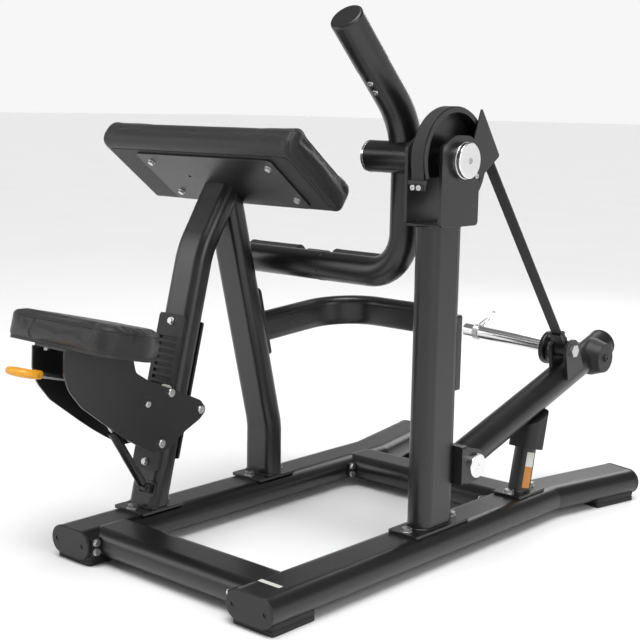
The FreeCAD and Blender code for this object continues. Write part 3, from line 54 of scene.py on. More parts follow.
def at(x, y, z):
    """A point given in layout millimetres, in the row frame in metres."""
    return Vector((x, y, z)) / 1000 + LAYOUT


def yz(degrees):
    """Unit vector in the YZ plane, turned up from +Y."""
    angle = math.radians(degrees)
    return Vector((0, math.cos(angle), math.sin(angle)))


X = Vector((1, 0, 0))
Z = Vector((0, 0, 1))
PIVOT = at(545, 563, 858)
LEVER = at(531, 649, 199)
LEVER_DIR = yz(17.12)
LEVER_UP = yz(107.12)
CLEVIS = at(545, 649, 199) + LEVER_DIR * 0.442 + LEVER_UP * 0.0726
PAD_MID = at(10, 408.6, 802.8)
PAD_ALONG = yz(-38)
PAD_UP = yz(52)
SEAT_ORG = at(0, -47, 472)
SEAT_ALONG = yz(-13)
SEAT_UP = yz(77)
POST_BASE = at(0, 218, 80)
POST_DIR = yz(75.8)
POST_BACK = X.cross(POST_DIR)


# ---------------------------------------------------------------- materials
class Shader:
    """A material under construction: nodes made by type, inputs set by name."""

    def __init__(self, name):
        self.material = bpy.data.materials.new(name)
        self.material.use_nodes = True
        self.tree = self.material.node_tree
        self.tree.nodes.clear()
        self.output = self.node("ShaderNodeOutputMaterial")
        self.coords = self.node("ShaderNodeTexCoord").outputs["Object"]

    def node(self, kind, settings=None, **inputs):
        made = self.tree.nodes.new(kind)
        for key, value in (settings or {}).items():
            setattr(made, key, value)
        for key, value in inputs.items():
            self.feed(made.inputs[key.replace("_", " ")], value)
        return made

    def feed(self, socket, value):
        if isinstance(value, bpy.types.NodeSocket):
            self.tree.links.new(value, socket)
        else:
            socket.default_value = value

    def math(self, operation, a, b=0.0):
        made = self.node("ShaderNodeMath", {"operation": operation})
        self.feed(made.inputs[0], a)
        self.feed(made.inputs[1], b)
        return made.outputs[0]

    def noise(self, scale, detail=3.0, rough=0.55, vector=None):
        made = self.node("ShaderNodeTexNoise", Vector=vector or self.coords, Scale=scale, Detail=detail,
                         Roughness=rough)
        return made.outputs[0]

    def spread(self, value, low, high, from_low=0.0, from_high=1.0):
        made = self.node("ShaderNodeMapRange", Value=value, From_Min=from_low, From_Max=from_high,
                         To_Min=low, To_Max=high)
        return made.outputs[0]

    def blend(self, factor, a, b):
        made = self.node("ShaderNodeMix", {"data_type": "RGBA"})
        self.feed(made.inputs[0], factor)
        self.feed(made.inputs[6], a)
        self.feed(made.inputs[7], b)
        return made.outputs[2]

    def bump(self, height, strength, distance, normal=None):
        made = self.node("ShaderNodeBump", Height=height, Strength=strength, Distance=distance)
        if normal is not None:
            self.feed(made.inputs["Normal"], normal)
        return made.outputs[0]

    def soft_edges(self, radius):
        """Rounded-edge normal, and a mask that is 1 along edges."""
        bevel = self.node("ShaderNodeBevel", {"samples": 6}, Radius=radius).outputs[0]
        true_normal = self.node("ShaderNodeNewGeometry").outputs["Normal"]
        dot = self.node("ShaderNodeVectorMath", {"operation": "DOT_PRODUCT"})
        self.feed(dot.inputs[0], bevel)
        self.feed(dot.inputs[1], true_normal)
        return bevel, self.spread(dot.outputs["Value"], 1.0, 0.0, 0.72, 0.97)

    def finish(self, **inputs):
        surface = self.node("ShaderNodeBsdfPrincipled")
        for key, value in inputs.items():
            self.feed(surface.inputs[key.replace("_", " ")], value)
        self.tree.links.new(surface.outputs[0], self.output.inputs[0])
        return self.material


def grey(value, warm=0.0):
    return (value * (1 + warm), value, value * (1 - warm), 1.0)


def powder_coat(name, dark, light, rough):
    """Satin powder coat: orange peel, faint mottling, edges a little lighter: partly rubbed wear, partly a
    painted highlight.
    """
    s = Shader(name)
    bevel, edge = s.soft_edges(0.0012)
    mottle = s.noise(9.0, 4.0)
    peel = s.noise(1400.0, 2.0)
    dust = s.spread(s.noise(38.0, 6.0, 0.7), 0.0, 1.0, 0.5, 0.78)
    color = s.blend(mottle, grey(dark), grey(light))
    # edges lightened: partly rubbed wear, partly a painted highlight along the edges
    rub_and_sheen = s.math("MULTIPLY", edge, s.spread(s.noise(60.0, 4.0), 0.15, 0.75))
    color = s.blend(rub_and_sheen, color, grey(0.075))
    roughness = s.math("ADD", s.spread(mottle, rough - 0.05, rough + 0.06), s.math("MULTIPLY", dust, 0.06))
    return s.finish(Base_Color=color, Roughness=roughness, Normal=s.bump(peel, 0.22, 0.0004, bevel),
                    Specular_IOR_Level=0.55, Coat_Weight=0.12, Coat_Roughness=0.3)


def grained_plastic(name, dark, light, rough, grain=2600.0):
    """Moulded plastic or rubber with a fine spark-eroded grain."""
    s = Shader(name)
    bevel, edge = s.soft_edges(0.0016)
    cloud = s.noise(22.0, 5.0)
    cells = s.node("ShaderNodeTexVoronoi", Vector=s.coords, Scale=grain).outputs["Distance"]
    color = s.blend(cloud, grey(dark), grey(light))
    # edges lightened: a painted highlight along the edges, with a little edge wear
    color = s.blend(s.math("MULTIPLY", edge, 0.5), color, grey(light * 2.2))
    return s.finish(Base_Color=color, Roughness=s.spread(cloud, rough - 0.06, rough + 0.08),
                    Normal=s.bump(cells, 0.35, 0.0003, bevel), Specular_IOR_Level=0.45)


def vinyl(name, dark, light):
    """Upholstery vinyl: pebbled leather grain, soft creases, and a painted sheen: colour lightened on the
    raised crease crests.
    """
    s = Shader(name)
    warp = s.node("ShaderNodeTexNoise", Vector=s.coords, Scale=90.0, Detail=2.0)
    shifted = s.node("ShaderNodeVectorMath", {"operation": "MULTIPLY_ADD"})
    s.feed(shifted.inputs[0], warp.outputs["Color"])
    s.feed(shifted.inputs[1], (0.004, 0.004, 0.004))
    s.feed(shifted.inputs[2], s.coords)
    cells = s.node("ShaderNodeTexVoronoi", {"feature": "DISTANCE_TO_EDGE"}, Vector=shifted.outputs[0],
                   Scale=620.0).outputs["Distance"]
    pebble = s.spread(cells, 0.0, 1.0, 0.02, 0.28)
    fine = s.noise(1900.0, 2.0)
    wave = s.noise(16.0, 3.0)
    height = s.math("ADD", pebble, s.math("MULTIPLY", fine, 0.35))
    color = s.blend(pebble, grey(dark), grey(light))
    # painted sheen: colour lightened where the crease noise rises, on the crease crests
    color = s.blend(s.spread(wave, 0.0, 0.55, 0.45, 0.75), color, grey(light * 1.35))
    roughness = s.math("ADD", s.spread(wave, 0.36, 0.5), s.math("MULTIPLY", pebble, -0.05))
    normal = s.bump(wave, 0.25, 0.004)
    normal = s.bump(height, 0.42, 0.00045, normal)
    return s.finish(Base_Color=color, Roughness=roughness, Normal=normal, Sheen_Weight=0.12,
                    Sheen_Roughness=0.4, Specular_IOR_Level=0.5)


def plated(name, color_value, rough, brushed=0.0, centre=None, ring_axis=None):
    """Chrome or zinc plate; turned faces get fine concentric rings about centre; edges carry a painted
    highlight.
    """
    s = Shader(name)
    bevel, edge = s.soft_edges(0.0006)
    cloud = s.noise(140.0, 4.0, 0.65)
    pits = s.noise(3200.0, 1.0)
    height = pits
    if centre is not None:
        away = s.node("ShaderNodeVectorMath", {"operation": "SUBTRACT"})
        s.feed(away.inputs[0], s.coords)
        s.feed(away.inputs[1], centre)
        flat = s.node("ShaderNodeVectorMath", {"operation": "MULTIPLY"})
        s.feed(flat.inputs[0], away.outputs[0])
        s.feed(flat.inputs[1], ring_axis)
        radius = s.node("ShaderNodeVectorMath", {"operation": "LENGTH"})
        s.feed(radius.inputs[0], flat.outputs[0])
        rings = s.math("SINE", s.math("MULTIPLY", radius.outputs["Value"], 9000.0))
        height = s.math("ADD", pits, s.math("MULTIPLY", rings, brushed))
    tint = s.blend(cloud, grey(color_value), grey(min(1.0, color_value * 1.12)))
    # painted highlight: edges lightened towards pale grey
    tint = s.blend(s.math("MULTIPLY", edge, 0.4), tint, grey(0.9))
    return s.finish(Base_Color=tint, Metallic=1.0, Roughness=s.spread(cloud, rough * 0.75, rough * 1.35),
                    Normal=s.bump(height, 0.12, 0.0002, bevel))


def woven_belt(name):
    """Flat drive belt: rubber with a fine diagonal weave pressed into it."""
    s = Shader(name)
    turned = s.node("ShaderNodeMapping", Vector=s.coords, Rotation=(math.radians(52.6), 0.0, 0.0))
    across = s.node("ShaderNodeTexWave", {"wave_type": "BANDS", "bands_direction": "X"},
                    Vector=turned.outputs[0], Scale=260.0, Distortion=0.6)
    along = s.node("ShaderNodeTexWave", {"wave_type": "BANDS", "bands_direction": "Z"},
                   Vector=turned.outputs[0], Scale=200.0, Distortion=0.6)
    weave = s.math("MULTIPLY", across.outputs[1], along.outputs[1])
    cloud = s.noise(30.0, 4.0)
    color = s.blend(weave, grey(0.010), grey(0.030))
    color = s.blend(s.spread(cloud, 0.0, 0.4), color, grey(0.05))
    return s.finish(Base_Color=color, Roughness=s.spread(cloud, 0.55, 0.72),
                    Normal=s.bump(weave, 0.5, 0.0006))


def board(name):
    """Black pad backing: textured moulded sheet with a wood-like grain under the film."""
    s = Shader(name)
    stretched = s.node("ShaderNodeMapping", Vector=s.coords, Scale=(1.0, 9.0, 9.0))
    grain = s.noise(24.0, 6.0, 0.6, stretched.outputs[0])
    speck = s.noise(1500.0, 2.0)
    color = s.blend(grain, grey(0.014), grey(0.032))
    return s.finish(Base_Color=color, Roughness=s.spread(grain, 0.5, 0.68),
                    Normal=s.bump(speck, 0.3, 0.0004))


def colored_plastic(name, color, worn, rough):
    """Dipped plastic with scuffs and a slightly waxy skin."""
    s = Shader(name)
    cloud = s.noise(120.0, 5.0, 0.65)
    scuff = s.spread(s.noise(420.0, 6.0, 0.75), 0.0, 1.0, 0.56, 0.72)
    tone = s.blend(s.spread(cloud, 0.0, 0.7, 0.3, 0.8), color, worn)
    tone = s.blend(s.math("MULTIPLY", scuff, 0.45), tone, grey(0.25))
    return s.finish(Base_Color=tone, Roughness=s.spread(cloud, rough - 0.08, rough + 0.1),
                    Normal=s.bump(cloud, 0.15, 0.0006), Coat_Weight=0.25, Coat_Roughness=0.2,
                    Subsurface_Weight=0.04)


def paper(name, color):
    """Printed film label with no print on it."""
    s = Shader(name)
    fibre = s.noise(700.0, 4.0)
    return s.finish(Base_Color=s.blend(fibre, color, tuple(c * 0.86 for c in color[:3]) + (1.0,)),
                    Roughness=s.spread(fibre, 0.35, 0.5), Normal=s.bump(fibre, 0.08, 0.0002))


def floor_material():
    s = Shader("studio_floor")
    cloud = s.noise(1.5, 3.0)
    return s.finish(Base_Color=s.blend(cloud, grey(0.86), grey(0.9)), Roughness=0.55,
                    Normal=s.bump(s.noise(300.0), 0.03, 0.0005))


YZ_ONLY = (0.0, 1.0, 1.0)
PAINT = powder_coat("satin_powder_coat", 0.0045, 0.0085, 0.29)
PAINT_PLATE = powder_coat("plate_powder_coat", 0.0055, 0.0100, 0.36)
CAP = grained_plastic("end_cap_plastic", 0.009, 0.016, 0.46)
RUBBER = grained_plastic("moulded_rubber", 0.007, 0.012, 0.58, 1800.0)
GRIP_RUBBER = grained_plastic("grip_rubber", 0.006, 0.011, 0.62, 1500.0)
RACK = grained_plastic("rack_nylon", 0.007, 0.012, 0.42)
VINYL = vinyl("black_vinyl", 0.0045, 0.0085)
BOARD = board("pad_board")
BELT = woven_belt("belt_weave")
CHROME = plated("chrome_plate", 0.78, 0.13)
HUB_CHROME = plated("turned_cap_chrome", 0.82, 0.16, 1.6, tuple(PIVOT), YZ_ONLY)
LEVER_CHROME = plated("turned_lever_chrome", 0.8, 0.17, 1.6, tuple(LEVER), YZ_ONLY)
ZINC = plated("zinc_plate", 0.58, 0.3)
BLACK_OXIDE = plated("black_oxide", 0.06, 0.35)
NYLON = colored_plastic("roller_nylon", (0.5, 0.49, 0.45, 1), (0.4, 0.39, 0.36, 1), 0.45)
YELLOW = colored_plastic("handle_yellow", (0.78, 0.36, 0.012, 1), (0.62, 0.25, 0.01, 1), 0.38)
THREAD = colored_plastic("stitch_thread", (0.05, 0.05, 0.052, 1), (0.09, 0.09, 0.092, 1), 0.6)
LABEL = paper("blank_label", (0.62, 0.62, 0.6, 1.0))
BAND = paper("blank_band", (0.52, 0.2, 0.03, 1.0))

NODE_MATERIALS = {
    PAINT: "left_rail right_rail rear_cross_member front_cross_member main_upright seat_post front_leg "
           "brace_tube stop_post arm_tube pivot_tube grip_carrier lever_tube lever_hubs counterweight "
           "strut_cylinder cam_wheel",
    PAINT_PLATE: "pivot_housing guard_fin lever_bracket arm_pad_plate belt_clevis carriage_frame "
                 "strut_bracket upper_belt_clamp lower_belt_clamp",
    CAP: "rail_end_caps arm_end_caps lever_end_caps guide_strip",
    RUBBER: "rubber_feet stop_rubber",
    GRIP_RUBBER: "hand_grips",
    RACK: "seat_rack",
    VINYL: "arm_pad seat_cushion",
    BOARD: "arm_pad_board seat_board",
    BELT: "belt_run belt_wrap",
    CHROME: "weight_horn pivot_axle",
    HUB_CHROME: "axle_caps",
    LEVER_CHROME: "lever_pivot_pin",
    ZINC: "frame_bolts arm_pad_bolts clevis_pin pivot_bearings release_rod strut_rod release_spring "
          "spring_collar carriage_bolts arm_screws",
    BLACK_OXIDE: "end_cap_screws",
    NYLON: "front_roller upper_rear_rollers lower_rear_rollers lever_bushes",
    YELLOW: "release_handle",
}


def dress_nodes():
    for material, names in NODE_MATERIALS.items():
        for name in names.split():
            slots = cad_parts[name].material_slots
            for entry in slots:
                entry.material = material


# ---------------------------------------------------------------- mesh helpers
def new_object(name, bm, material, smooth=True):
    mesh = bpy.data.meshes.new(name)
    bmesh.ops.recalc_face_normals(bm, faces=bm.faces)
    bm.to_mesh(mesh)
    bm.free()
    for polygon in mesh.polygons:
        polygon.use_smooth = smooth
    made = bpy.data.objects.new(name, mesh)
    bpy.context.scene.collection.objects.link(made)
    mesh.materials.append(material)
    return made


def apply_modifiers(obj):
    bpy.context.view_layer.update()
    graph = bpy.context.evaluated_depsgraph_get()
    mesh = bpy.data.meshes.new_from_object(obj.evaluated_get(graph))
    old = obj.data
    obj.modifiers.clear()
    obj.data = mesh
    bpy.data.meshes.remove(old)
    return obj


def rounded_outline(points, radii, steps=8):
    """Closed 2-D outline with an arc of the given radius at each corner."""
    result = []
    count = len(points)
    for i, corner in enumerate(points):
        here = Vector(corner)
        before = (Vector(points[i - 1]) - here).normalized()
        after = (Vector(points[(i + 1) % count]) - here).normalized()
        half = before.angle(after) / 2
        reach = radii[i] / math.tan(half)
        centre = here + (before + after).normalized() * (radii[i] / math.sin(half))
        start = here + before * reach - centre
        end = here + after * reach - centre
        turn = math.atan2(start.x * end.y - start.y * end.x, start.dot(end))
        for k in range(steps + 1):
            angle = turn * k / steps
            c, s = math.cos(angle), math.sin(angle)
            result.append(centre + Vector((start.x * c - start.y * s, start.x * s + start.y * c)))
    return result


def prism(bm, outline, origin, u, v, depth):
    """Closed prism of a 2-D outline; depth is a vector."""
    low = [bm.verts.new(origin + u * p.x + v * p.y) for p in outline]
    high = [bm.verts.new(vert.co + depth) for vert in low]
    bm.faces.new(low)
    bm.faces.new(high)
    count = len(low)
    for i in range(count):
        bm.faces.new((low[i], low[(i + 1) % count], high[(i + 1) % count], high[i]))


def loft(bm, rings):
    """Closed solid through rings of the same count of vertices."""
    bm.faces.new(rings[0])
    bm.faces.new(rings[-1])
    for a, b in zip(rings, rings[1:]):
        for k in range(len(a)):
            n = (k + 1) % len(a)
            bm.faces.new((a[k], a[n], b[n], b[k]))


def bevelled(obj, width, segments=3, angle=35):
    modifier = obj.modifiers.new("bevel", "BEVEL")
    modifier.width = width
    modifier.segments = segments
    modifier.limit_method = "ANGLE"
    modifier.angle_limit = math.radians(angle)
    return apply_modifiers(obj)


def cut_recess(obj, outline, origin, u, v, depth):
    """Cut a prism out of an object, then drop the cutter."""
    bm = bmesh.new()
    prism(bm, outline, origin, u, v, depth)
    cutter = new_object("recess_cutter", bm, obj.data.materials[0], False)
    modifier = obj.modifiers.new("recess", "BOOLEAN")
    modifier.operation = "DIFFERENCE"
    modifier.solver = "EXACT"
    modifier.object = cutter
    apply_modifiers(obj)
    bpy.data.objects.remove(cutter)


def tube_along(name, points, radius, material, sides=10, closed=False):
    """Solid round bead along points."""
    bm = bmesh.new()
    rings = []
    count = len(points)
    for i, point in enumerate(points):
        ahead = points[(i + 1) % count] if closed or i < count - 1 else point
        behind = points[i - 1] if closed or i > 0 else point
        along = (ahead - behind).normalized()
        side = along.cross(Z if abs(along.z) < 0.9 else X).normalized()
        other = along.cross(side)
        ring = []
        for k in range(sides):
            angle = 2 * math.pi * k / sides
            offset = side * math.cos(angle) + other * math.sin(angle)
            ring.append(bm.verts.new(point + offset * radius))
        rings.append(ring)
    pairs = zip(rings, rings[1:] + rings[:1]) if closed else zip(rings, rings[1:])
    for a, b in pairs:
        for k in range(sides):
            bm.faces.new((a[k], a[(k + 1) % sides], b[(k + 1) % sides], b[k]))
    if not closed:
        bm.faces.new(rings[0])
        bm.faces.new(rings[-1])
    return new_object(name, bm, material)


def join(name, objects):
    """One object from several, in place."""
    bm = bmesh.new()
    for obj in objects:
        bm.from_mesh(obj.data)
    made = new_object(name, bm, objects[0].data.materials[0])
    for obj in objects:
        bpy.data.objects.remove(obj)
    return made


def lathe(name, start, axis, profile, material, sides=48):
    """Closed solid of revolution: profile is (distance along axis, radius), first and last at radius 0."""
    side = axis.cross(Z if abs(axis.z) < 0.9 else X).normalized()
    other = axis.cross(side)
    bm = bmesh.new()
    rings = []
    for distance, radius in profile:
        centre = start + axis * distance
        if radius <= 0:
            rings.append([bm.verts.new(centre)])
            continue
        ring = []
        for k in range(sides):
            angle = 2 * math.pi * k / sides
            ring.append(bm.verts.new(centre + (side * math.cos(angle) + other * math.sin(angle)) * radius))
        rings.append(ring)
    for a, b in zip(rings, rings[1:]):
        for k in range(sides):
            n = (k + 1) % sides
            if len(a) == 1:
                bm.faces.new((a[0], b[n], b[k]))
            elif len(b) == 1:
                bm.faces.new((a[k], a[n], b[0]))
            else:
                bm.faces.new((a[k], a[n], b[n], b[k]))
    return new_object(name, bm, material)


# ---------------------------------------------------------------- cushions
VOXEL = 0.005
STITCH_LENGTH = 0.0036
STITCH_GAP = 0.0056
WELT_R = 0.0011


def inflate(obj, cap, held):
    """Swell the padded shape by cloth pressure; held(co) is 1 where the cover is stapled to the board."""
    remesh = obj.modifiers.new("remesh", "REMESH")
    remesh.mode = "VOXEL"
    remesh.voxel_size = VOXEL
    apply_modifiers(obj)
    rest = [v.co.copy() for v in obj.data.vertices]
    pins = obj.vertex_groups.new(name="stapled")
    for i, co in enumerate(rest):
        weight = held(co)
        if weight > 0:
            pins.add([i], weight, "REPLACE")
    cloth = obj.modifiers.new("cloth", "CLOTH")
    cloth.settings.quality = 6
    cloth.settings.mass = 0.3
    cloth.settings.tension_stiffness = 22
    cloth.settings.compression_stiffness = 18
    cloth.settings.bending_stiffness = 2.5
    cloth.settings.use_pressure = True
    cloth.settings.uniform_pressure_force = 3.0
    cloth.settings.effector_weights.gravity = 0.0
    cloth.settings.vertex_group_mass = "stapled"
    for number in range(1, 21):
        bpy.context.scene.frame_set(number)
    apply_modifiers(obj)
    bpy.context.scene.frame_set(1)
    for vert, before in zip(obj.data.vertices, rest):
        move = vert.co - before
        if move.length > cap:
            vert.co = before + move * (cap / move.length)
    obj.vertex_groups.clear()
    subdivide = obj.modifiers.new("subdivision", "SUBSURF")
    subdivide.levels = 1
    subdivide.render_levels = 1
    return apply_modifiers(obj)


def crease(obj, distance_to_seam, depth, width):
    """Pull the surface in along a seam; distance_to_seam(co) is in metres."""
    normals = [v.normal.copy() for v in obj.data.vertices]
    for vert, normal in zip(obj.data.vertices, normals):
        gap = distance_to_seam(vert.co) / width
        if gap < 3:
            vert.co -= normal * (depth * math.exp(-gap * gap))


def surface_path(obj, starts, inward, lift):
    """Points of the surface met by rays from starts along inward(start), lifted off by lift."""
    graph = bpy.context.evaluated_depsgraph_get()
    tree = BVHTree.FromObject(obj, graph)
    path = []
    for start in starts:
        hit, normal, _, _ = tree.ray_cast(start, inward(start))
        if hit is not None:
            path.append(hit + normal * lift)
    return path


def stitches(name, rows, length, gap, radius, material):
    """Short thread stitches laid along each row of points."""
    bm = bmesh.new()
    for row in rows:
        travelled = 0.0
        for a, b in zip(row, row[1:]):
            step = (b - a).length
            while step > 1e-9 and travelled + step >= gap:
                here = a + (b - a) * ((gap - travelled) / step)
                a = here
                step = (b - a).length
                travelled = 0.0
                along = (b - a).normalized()
                add_stitch(bm, here, along, length, radius)
            travelled += step
    return new_object(name, bm, material)


def add_stitch(bm, middle, along, length, radius):
    """One plump thread loop: an eight-sided spindle."""
    side = along.cross(Z if abs(along.z) < 0.9 else X).normalized()
    other = along.cross(side)
    rings = []
    for share, swell in ((-0.5, 0.45), (-0.3, 0.95), (0.3, 0.95), (0.5, 0.45)):
        ring = []
        for k in range(8):
            angle = math.pi * k / 4
            offset = (side * math.cos(angle) + other * math.sin(angle)) * radius * swell
            ring.append(bm.verts.new(middle + along * (length * share) + offset))
        rings.append(ring)
    loft(bm, rings)


def smooth_step(value):
    value = max(0.0, min(1.0, value))
    return value * value * (3 - 2 * value)


PAD_HALF_W = 0.303
PAD_HALF_L = 0.118
PAD_T = 0.072
PAD_BOARD_T = 0.012
PAD_LOW = 0.0008
BOARD_GAP = 0.0008
RECESS_DROP = 0.01
SWELL = 0.0045
END_SEAM = 0.010


def pad_local(co):
    """Coordinates in the arm pad: across, down the slope, above the plate."""
    rel = co - PAD_MID
    return rel.x, rel.dot(PAD_ALONG), rel.dot(PAD_UP)


def build_arm_pad():
    inset = SWELL * 0.6
    low = PAD_LOW
    top = PAD_T - inset
    rear = -PAD_HALF_L + inset
    front = PAD_HALF_L - inset
    outline = rounded_outline(((rear, low), (front, low), (front, top), (rear, top)),
                              (0.026, 0.014, 0.021, 0.026), 10)
    bm = bmesh.new()
    half = PAD_HALF_W - inset
    prism(bm, outline, PAD_MID - X * half, PAD_ALONG, PAD_UP, X * (2 * half))
    pad = bevelled(new_object("arm_pad_cushion", bm, VINYL), 0.011, 4, 50)

    def stapled(co):
        return 1.0 - smooth_step((pad_local(co)[2] - low) / 0.016)

    inflate(pad, SWELL, stapled)
    side = PAD_HALF_W - 0.020 + BOARD_GAP
    back = -PAD_HALF_L + 0.032 - BOARD_GAP
    fore = PAD_HALF_L - 0.020 + BOARD_GAP
    recess = rounded_outline(((-side, back), (side, back), (side, fore), (-side, fore)), (0.010,) * 4)
    cut_recess(pad, recess, PAD_MID - PAD_UP * RECESS_DROP, X, PAD_ALONG,
               PAD_UP * (RECESS_DROP + PAD_BOARD_T + BOARD_GAP))

    def to_end_seam(co):
        return abs(abs(pad_local(co)[0]) - (PAD_HALF_W - END_SEAM))

    crease(pad, to_end_seam, 0.0016, 0.0028)
    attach(pad, "frame")
    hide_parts("arm_pad")
    build_pad_seams(pad)
    return pad


def build_pad_seams(pad):
    """Welt and two rows of stitches round each end of the arm pad."""
    middle = (PAD_BOARD_T + PAD_T) / 2
    steps = 150
    rows = []
    welts = []
    for side in (-1, 1):
        for inset, is_welt in ((END_SEAM, True), (END_SEAM + 0.0055, False), (END_SEAM + 0.0105, False)):
            x = side * (PAD_HALF_W - inset)
            starts = []
            for k in range(steps + 1):
                angle = math.radians(-52 + 284 * k / steps)
                away = PAD_ALONG * (-math.cos(angle) * 0.2) + PAD_UP * (math.sin(angle) * 0.12)
                starts.append(PAD_MID + X * x + PAD_UP * middle + away)
            centre_line = PAD_MID + X * x + PAD_UP * middle

            def inward(start, centre=centre_line):
                rel = centre - start
                limit = PAD_HALF_L - 0.03
                along = max(-limit, min(limit, -rel.dot(PAD_ALONG)))
                return (centre + PAD_ALONG * along - start).normalized()

            path = surface_path(pad, starts, inward, 0.0002)
            if is_welt:
                welts.append(tube_along("welt", path, WELT_R, VINYL, 8))
            else:
                rows.append(path)
    welt = join("arm_pad_welt", welts)
    thread = stitches("arm_pad_stitches", rows, STITCH_LENGTH, STITCH_GAP, 0.00055, THREAD)
    for piece in (welt, thread):
        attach(piece, "frame")


SEAT_POINTS = ((-0.172, 0.004), (0.172, 0.004), (0.172, 0.128), (0.074, 0.240), (-0.074, 0.240),
               (-0.172, 0.128))
SEAT_RADII = (0.034, 0.034, 0.070, 0.018, 0.018, 0.070)
SEAT_LOW = 0.0035
SEAT_TOP = 0.0650
SEAT_BOARD_T = 0.012
WALL_SEAM_X = -0.073
SEAT_CENTRE = Vector((0.0, 0.115))


def seat_outline(inset, steps=12):
    points = []
    for x, y in SEAT_POINTS:
        away = Vector((x, y)) - SEAT_CENTRE
        points.append(SEAT_CENTRE + away * (1 - inset / away.length))
    return rounded_outline(points, SEAT_RADII, steps)


def build_seat():
    inset = SWELL
    bm = bmesh.new()
    prism(bm, seat_outline(inset), SEAT_ORG + SEAT_UP * SEAT_LOW, X, SEAT_ALONG,
          SEAT_UP * (SEAT_TOP - SEAT_LOW - inset * 0.7))
    seat = bevelled(new_object("seat_pad", bm, VINYL), 0.010, 4, 50)

    def height(co):
        return (co - SEAT_ORG).dot(SEAT_UP)

    def stapled(co):
        return 1.0 - smooth_step((height(co) - SEAT_LOW) / 0.012)

    inflate(seat, SWELL, stapled)
    corners = [(x * 0.95, 0.010 + (y - 0.004) * 0.955) for x, y in SEAT_POINTS]
    grown = [Vector(c) + (Vector(c) - SEAT_CENTRE).normalized() * (BOARD_GAP * 1.4) for c in corners]
    recess = rounded_outline(grown, [r - 0.006 for r in SEAT_RADII])
    cut_recess(seat, recess, SEAT_ORG - SEAT_UP * RECESS_DROP, X, SEAT_ALONG,
               SEAT_UP * (RECESS_DROP + SEAT_BOARD_T + BOARD_GAP))

    def to_wall_seam(co):
        on_wall = height(co) < SEAT_TOP - 0.012 and (co - SEAT_ORG).dot(SEAT_ALONG) < 0.03
        return abs(co.x - LAYOUT.x - WALL_SEAM_X) if on_wall else 1.0

    crease(seat, to_wall_seam, 0.0016, 0.0026)
    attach(seat, "seat_carriage")
    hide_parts("seat_cushion")
    build_seat_seams(seat)
    return seat


def build_seat_seams(seat):
    """A welt round the top edge and the upright join of the side band."""
    outline = seat_outline(-0.05, 24)
    welts = []
    rows = []
    for level, is_welt in ((SEAT_TOP - 0.0125, True), (SEAT_TOP - 0.0175, False)):
        starts = [SEAT_ORG + X * p.x + SEAT_ALONG * p.y + SEAT_UP * level for p in outline]
        centre = SEAT_ORG + SEAT_ALONG * SEAT_CENTRE.y + SEAT_UP * level
        path = surface_path(seat, starts + starts[:1], lambda start, c=centre: (c - start).normalized(),
                            0.0001)
        if is_welt:
            welts.append(tube_along("seat_welt", path[:-1], WELT_R, VINYL, 8, closed=True))
        else:
            rows.append(path)
    starts = []
    for k in range(24):
        level = SEAT_LOW + 0.003 + (SEAT_TOP - 0.018 - SEAT_LOW) * k / 23
        starts.append(SEAT_ORG + X * WALL_SEAM_X - SEAT_ALONG * 0.05 + SEAT_UP * level)
    path = surface_path(seat, starts, lambda start: SEAT_ALONG, 0.0)
    welts.append(tube_along("wall_welt", path, 0.0010, VINYL, 8))
    for shift in (-0.005, 0.005):
        moved = [start + X * shift for start in starts]
        rows.append(surface_path(seat, moved, lambda start: SEAT_ALONG, 0.0002))
    welt = join("seat_welt", welts)
    thread = stitches("seat_stitches", rows, STITCH_LENGTH, STITCH_GAP, 0.0005, THREAD)
    for piece in (welt, thread):
        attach(piece, "seat_carriage")


# ---------------------------------------------------------------- rubber parts
GRIP_MID = at(-5, 780, 595)


def build_grips():
    """Ribbed rubber grips with a collar at each end."""
    grips = []
    for side in (-1, 1):
        start = GRIP_MID + X * (side * 0.060)
        profile = [(0.0, 0.0), (0.0, 0.0215), (0.0012, 0.0226), (0.006, 0.0226), (0.0075, 0.0210)]
        rib = 0.0075
        count = 19
        for k in range(count):
            base = 0.010 + rib * k
            profile += [(base, 0.0206), (base + 0.0012, 0.0220), (base + rib - 0.0024, 0.0220),
                        (base + rib - 0.0012, 0.0206)]
        end = 0.165
        profile += [(end - 0.009, 0.0210), (end - 0.0075, 0.0226), (end - 0.0015, 0.0226), (end, 0.0210),
                    (end, 0.0)]
        grips.append(lathe("grip", start, X * side, profile, GRIP_RUBBER, 56))
    grip = join("ribbed_grips", grips)
    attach(grip, "movement_arm")
    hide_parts("hand_grips")


def foot_frames():
    """Origin, outward and sideways direction, and length of each rubber foot."""
    splay = math.radians(12.5)
    frames = []
    for side, x in ((-1, 0.0), (1, 531.0)):
        frames.append((at(x, 6, 0), Vector((0, -1, 0)), 0.118))
        out = Vector((side * math.sin(splay), math.cos(splay), 0))
        frames.append((at(x, 1000, 0) + out * 0.280, out, 0.130))
    return frames


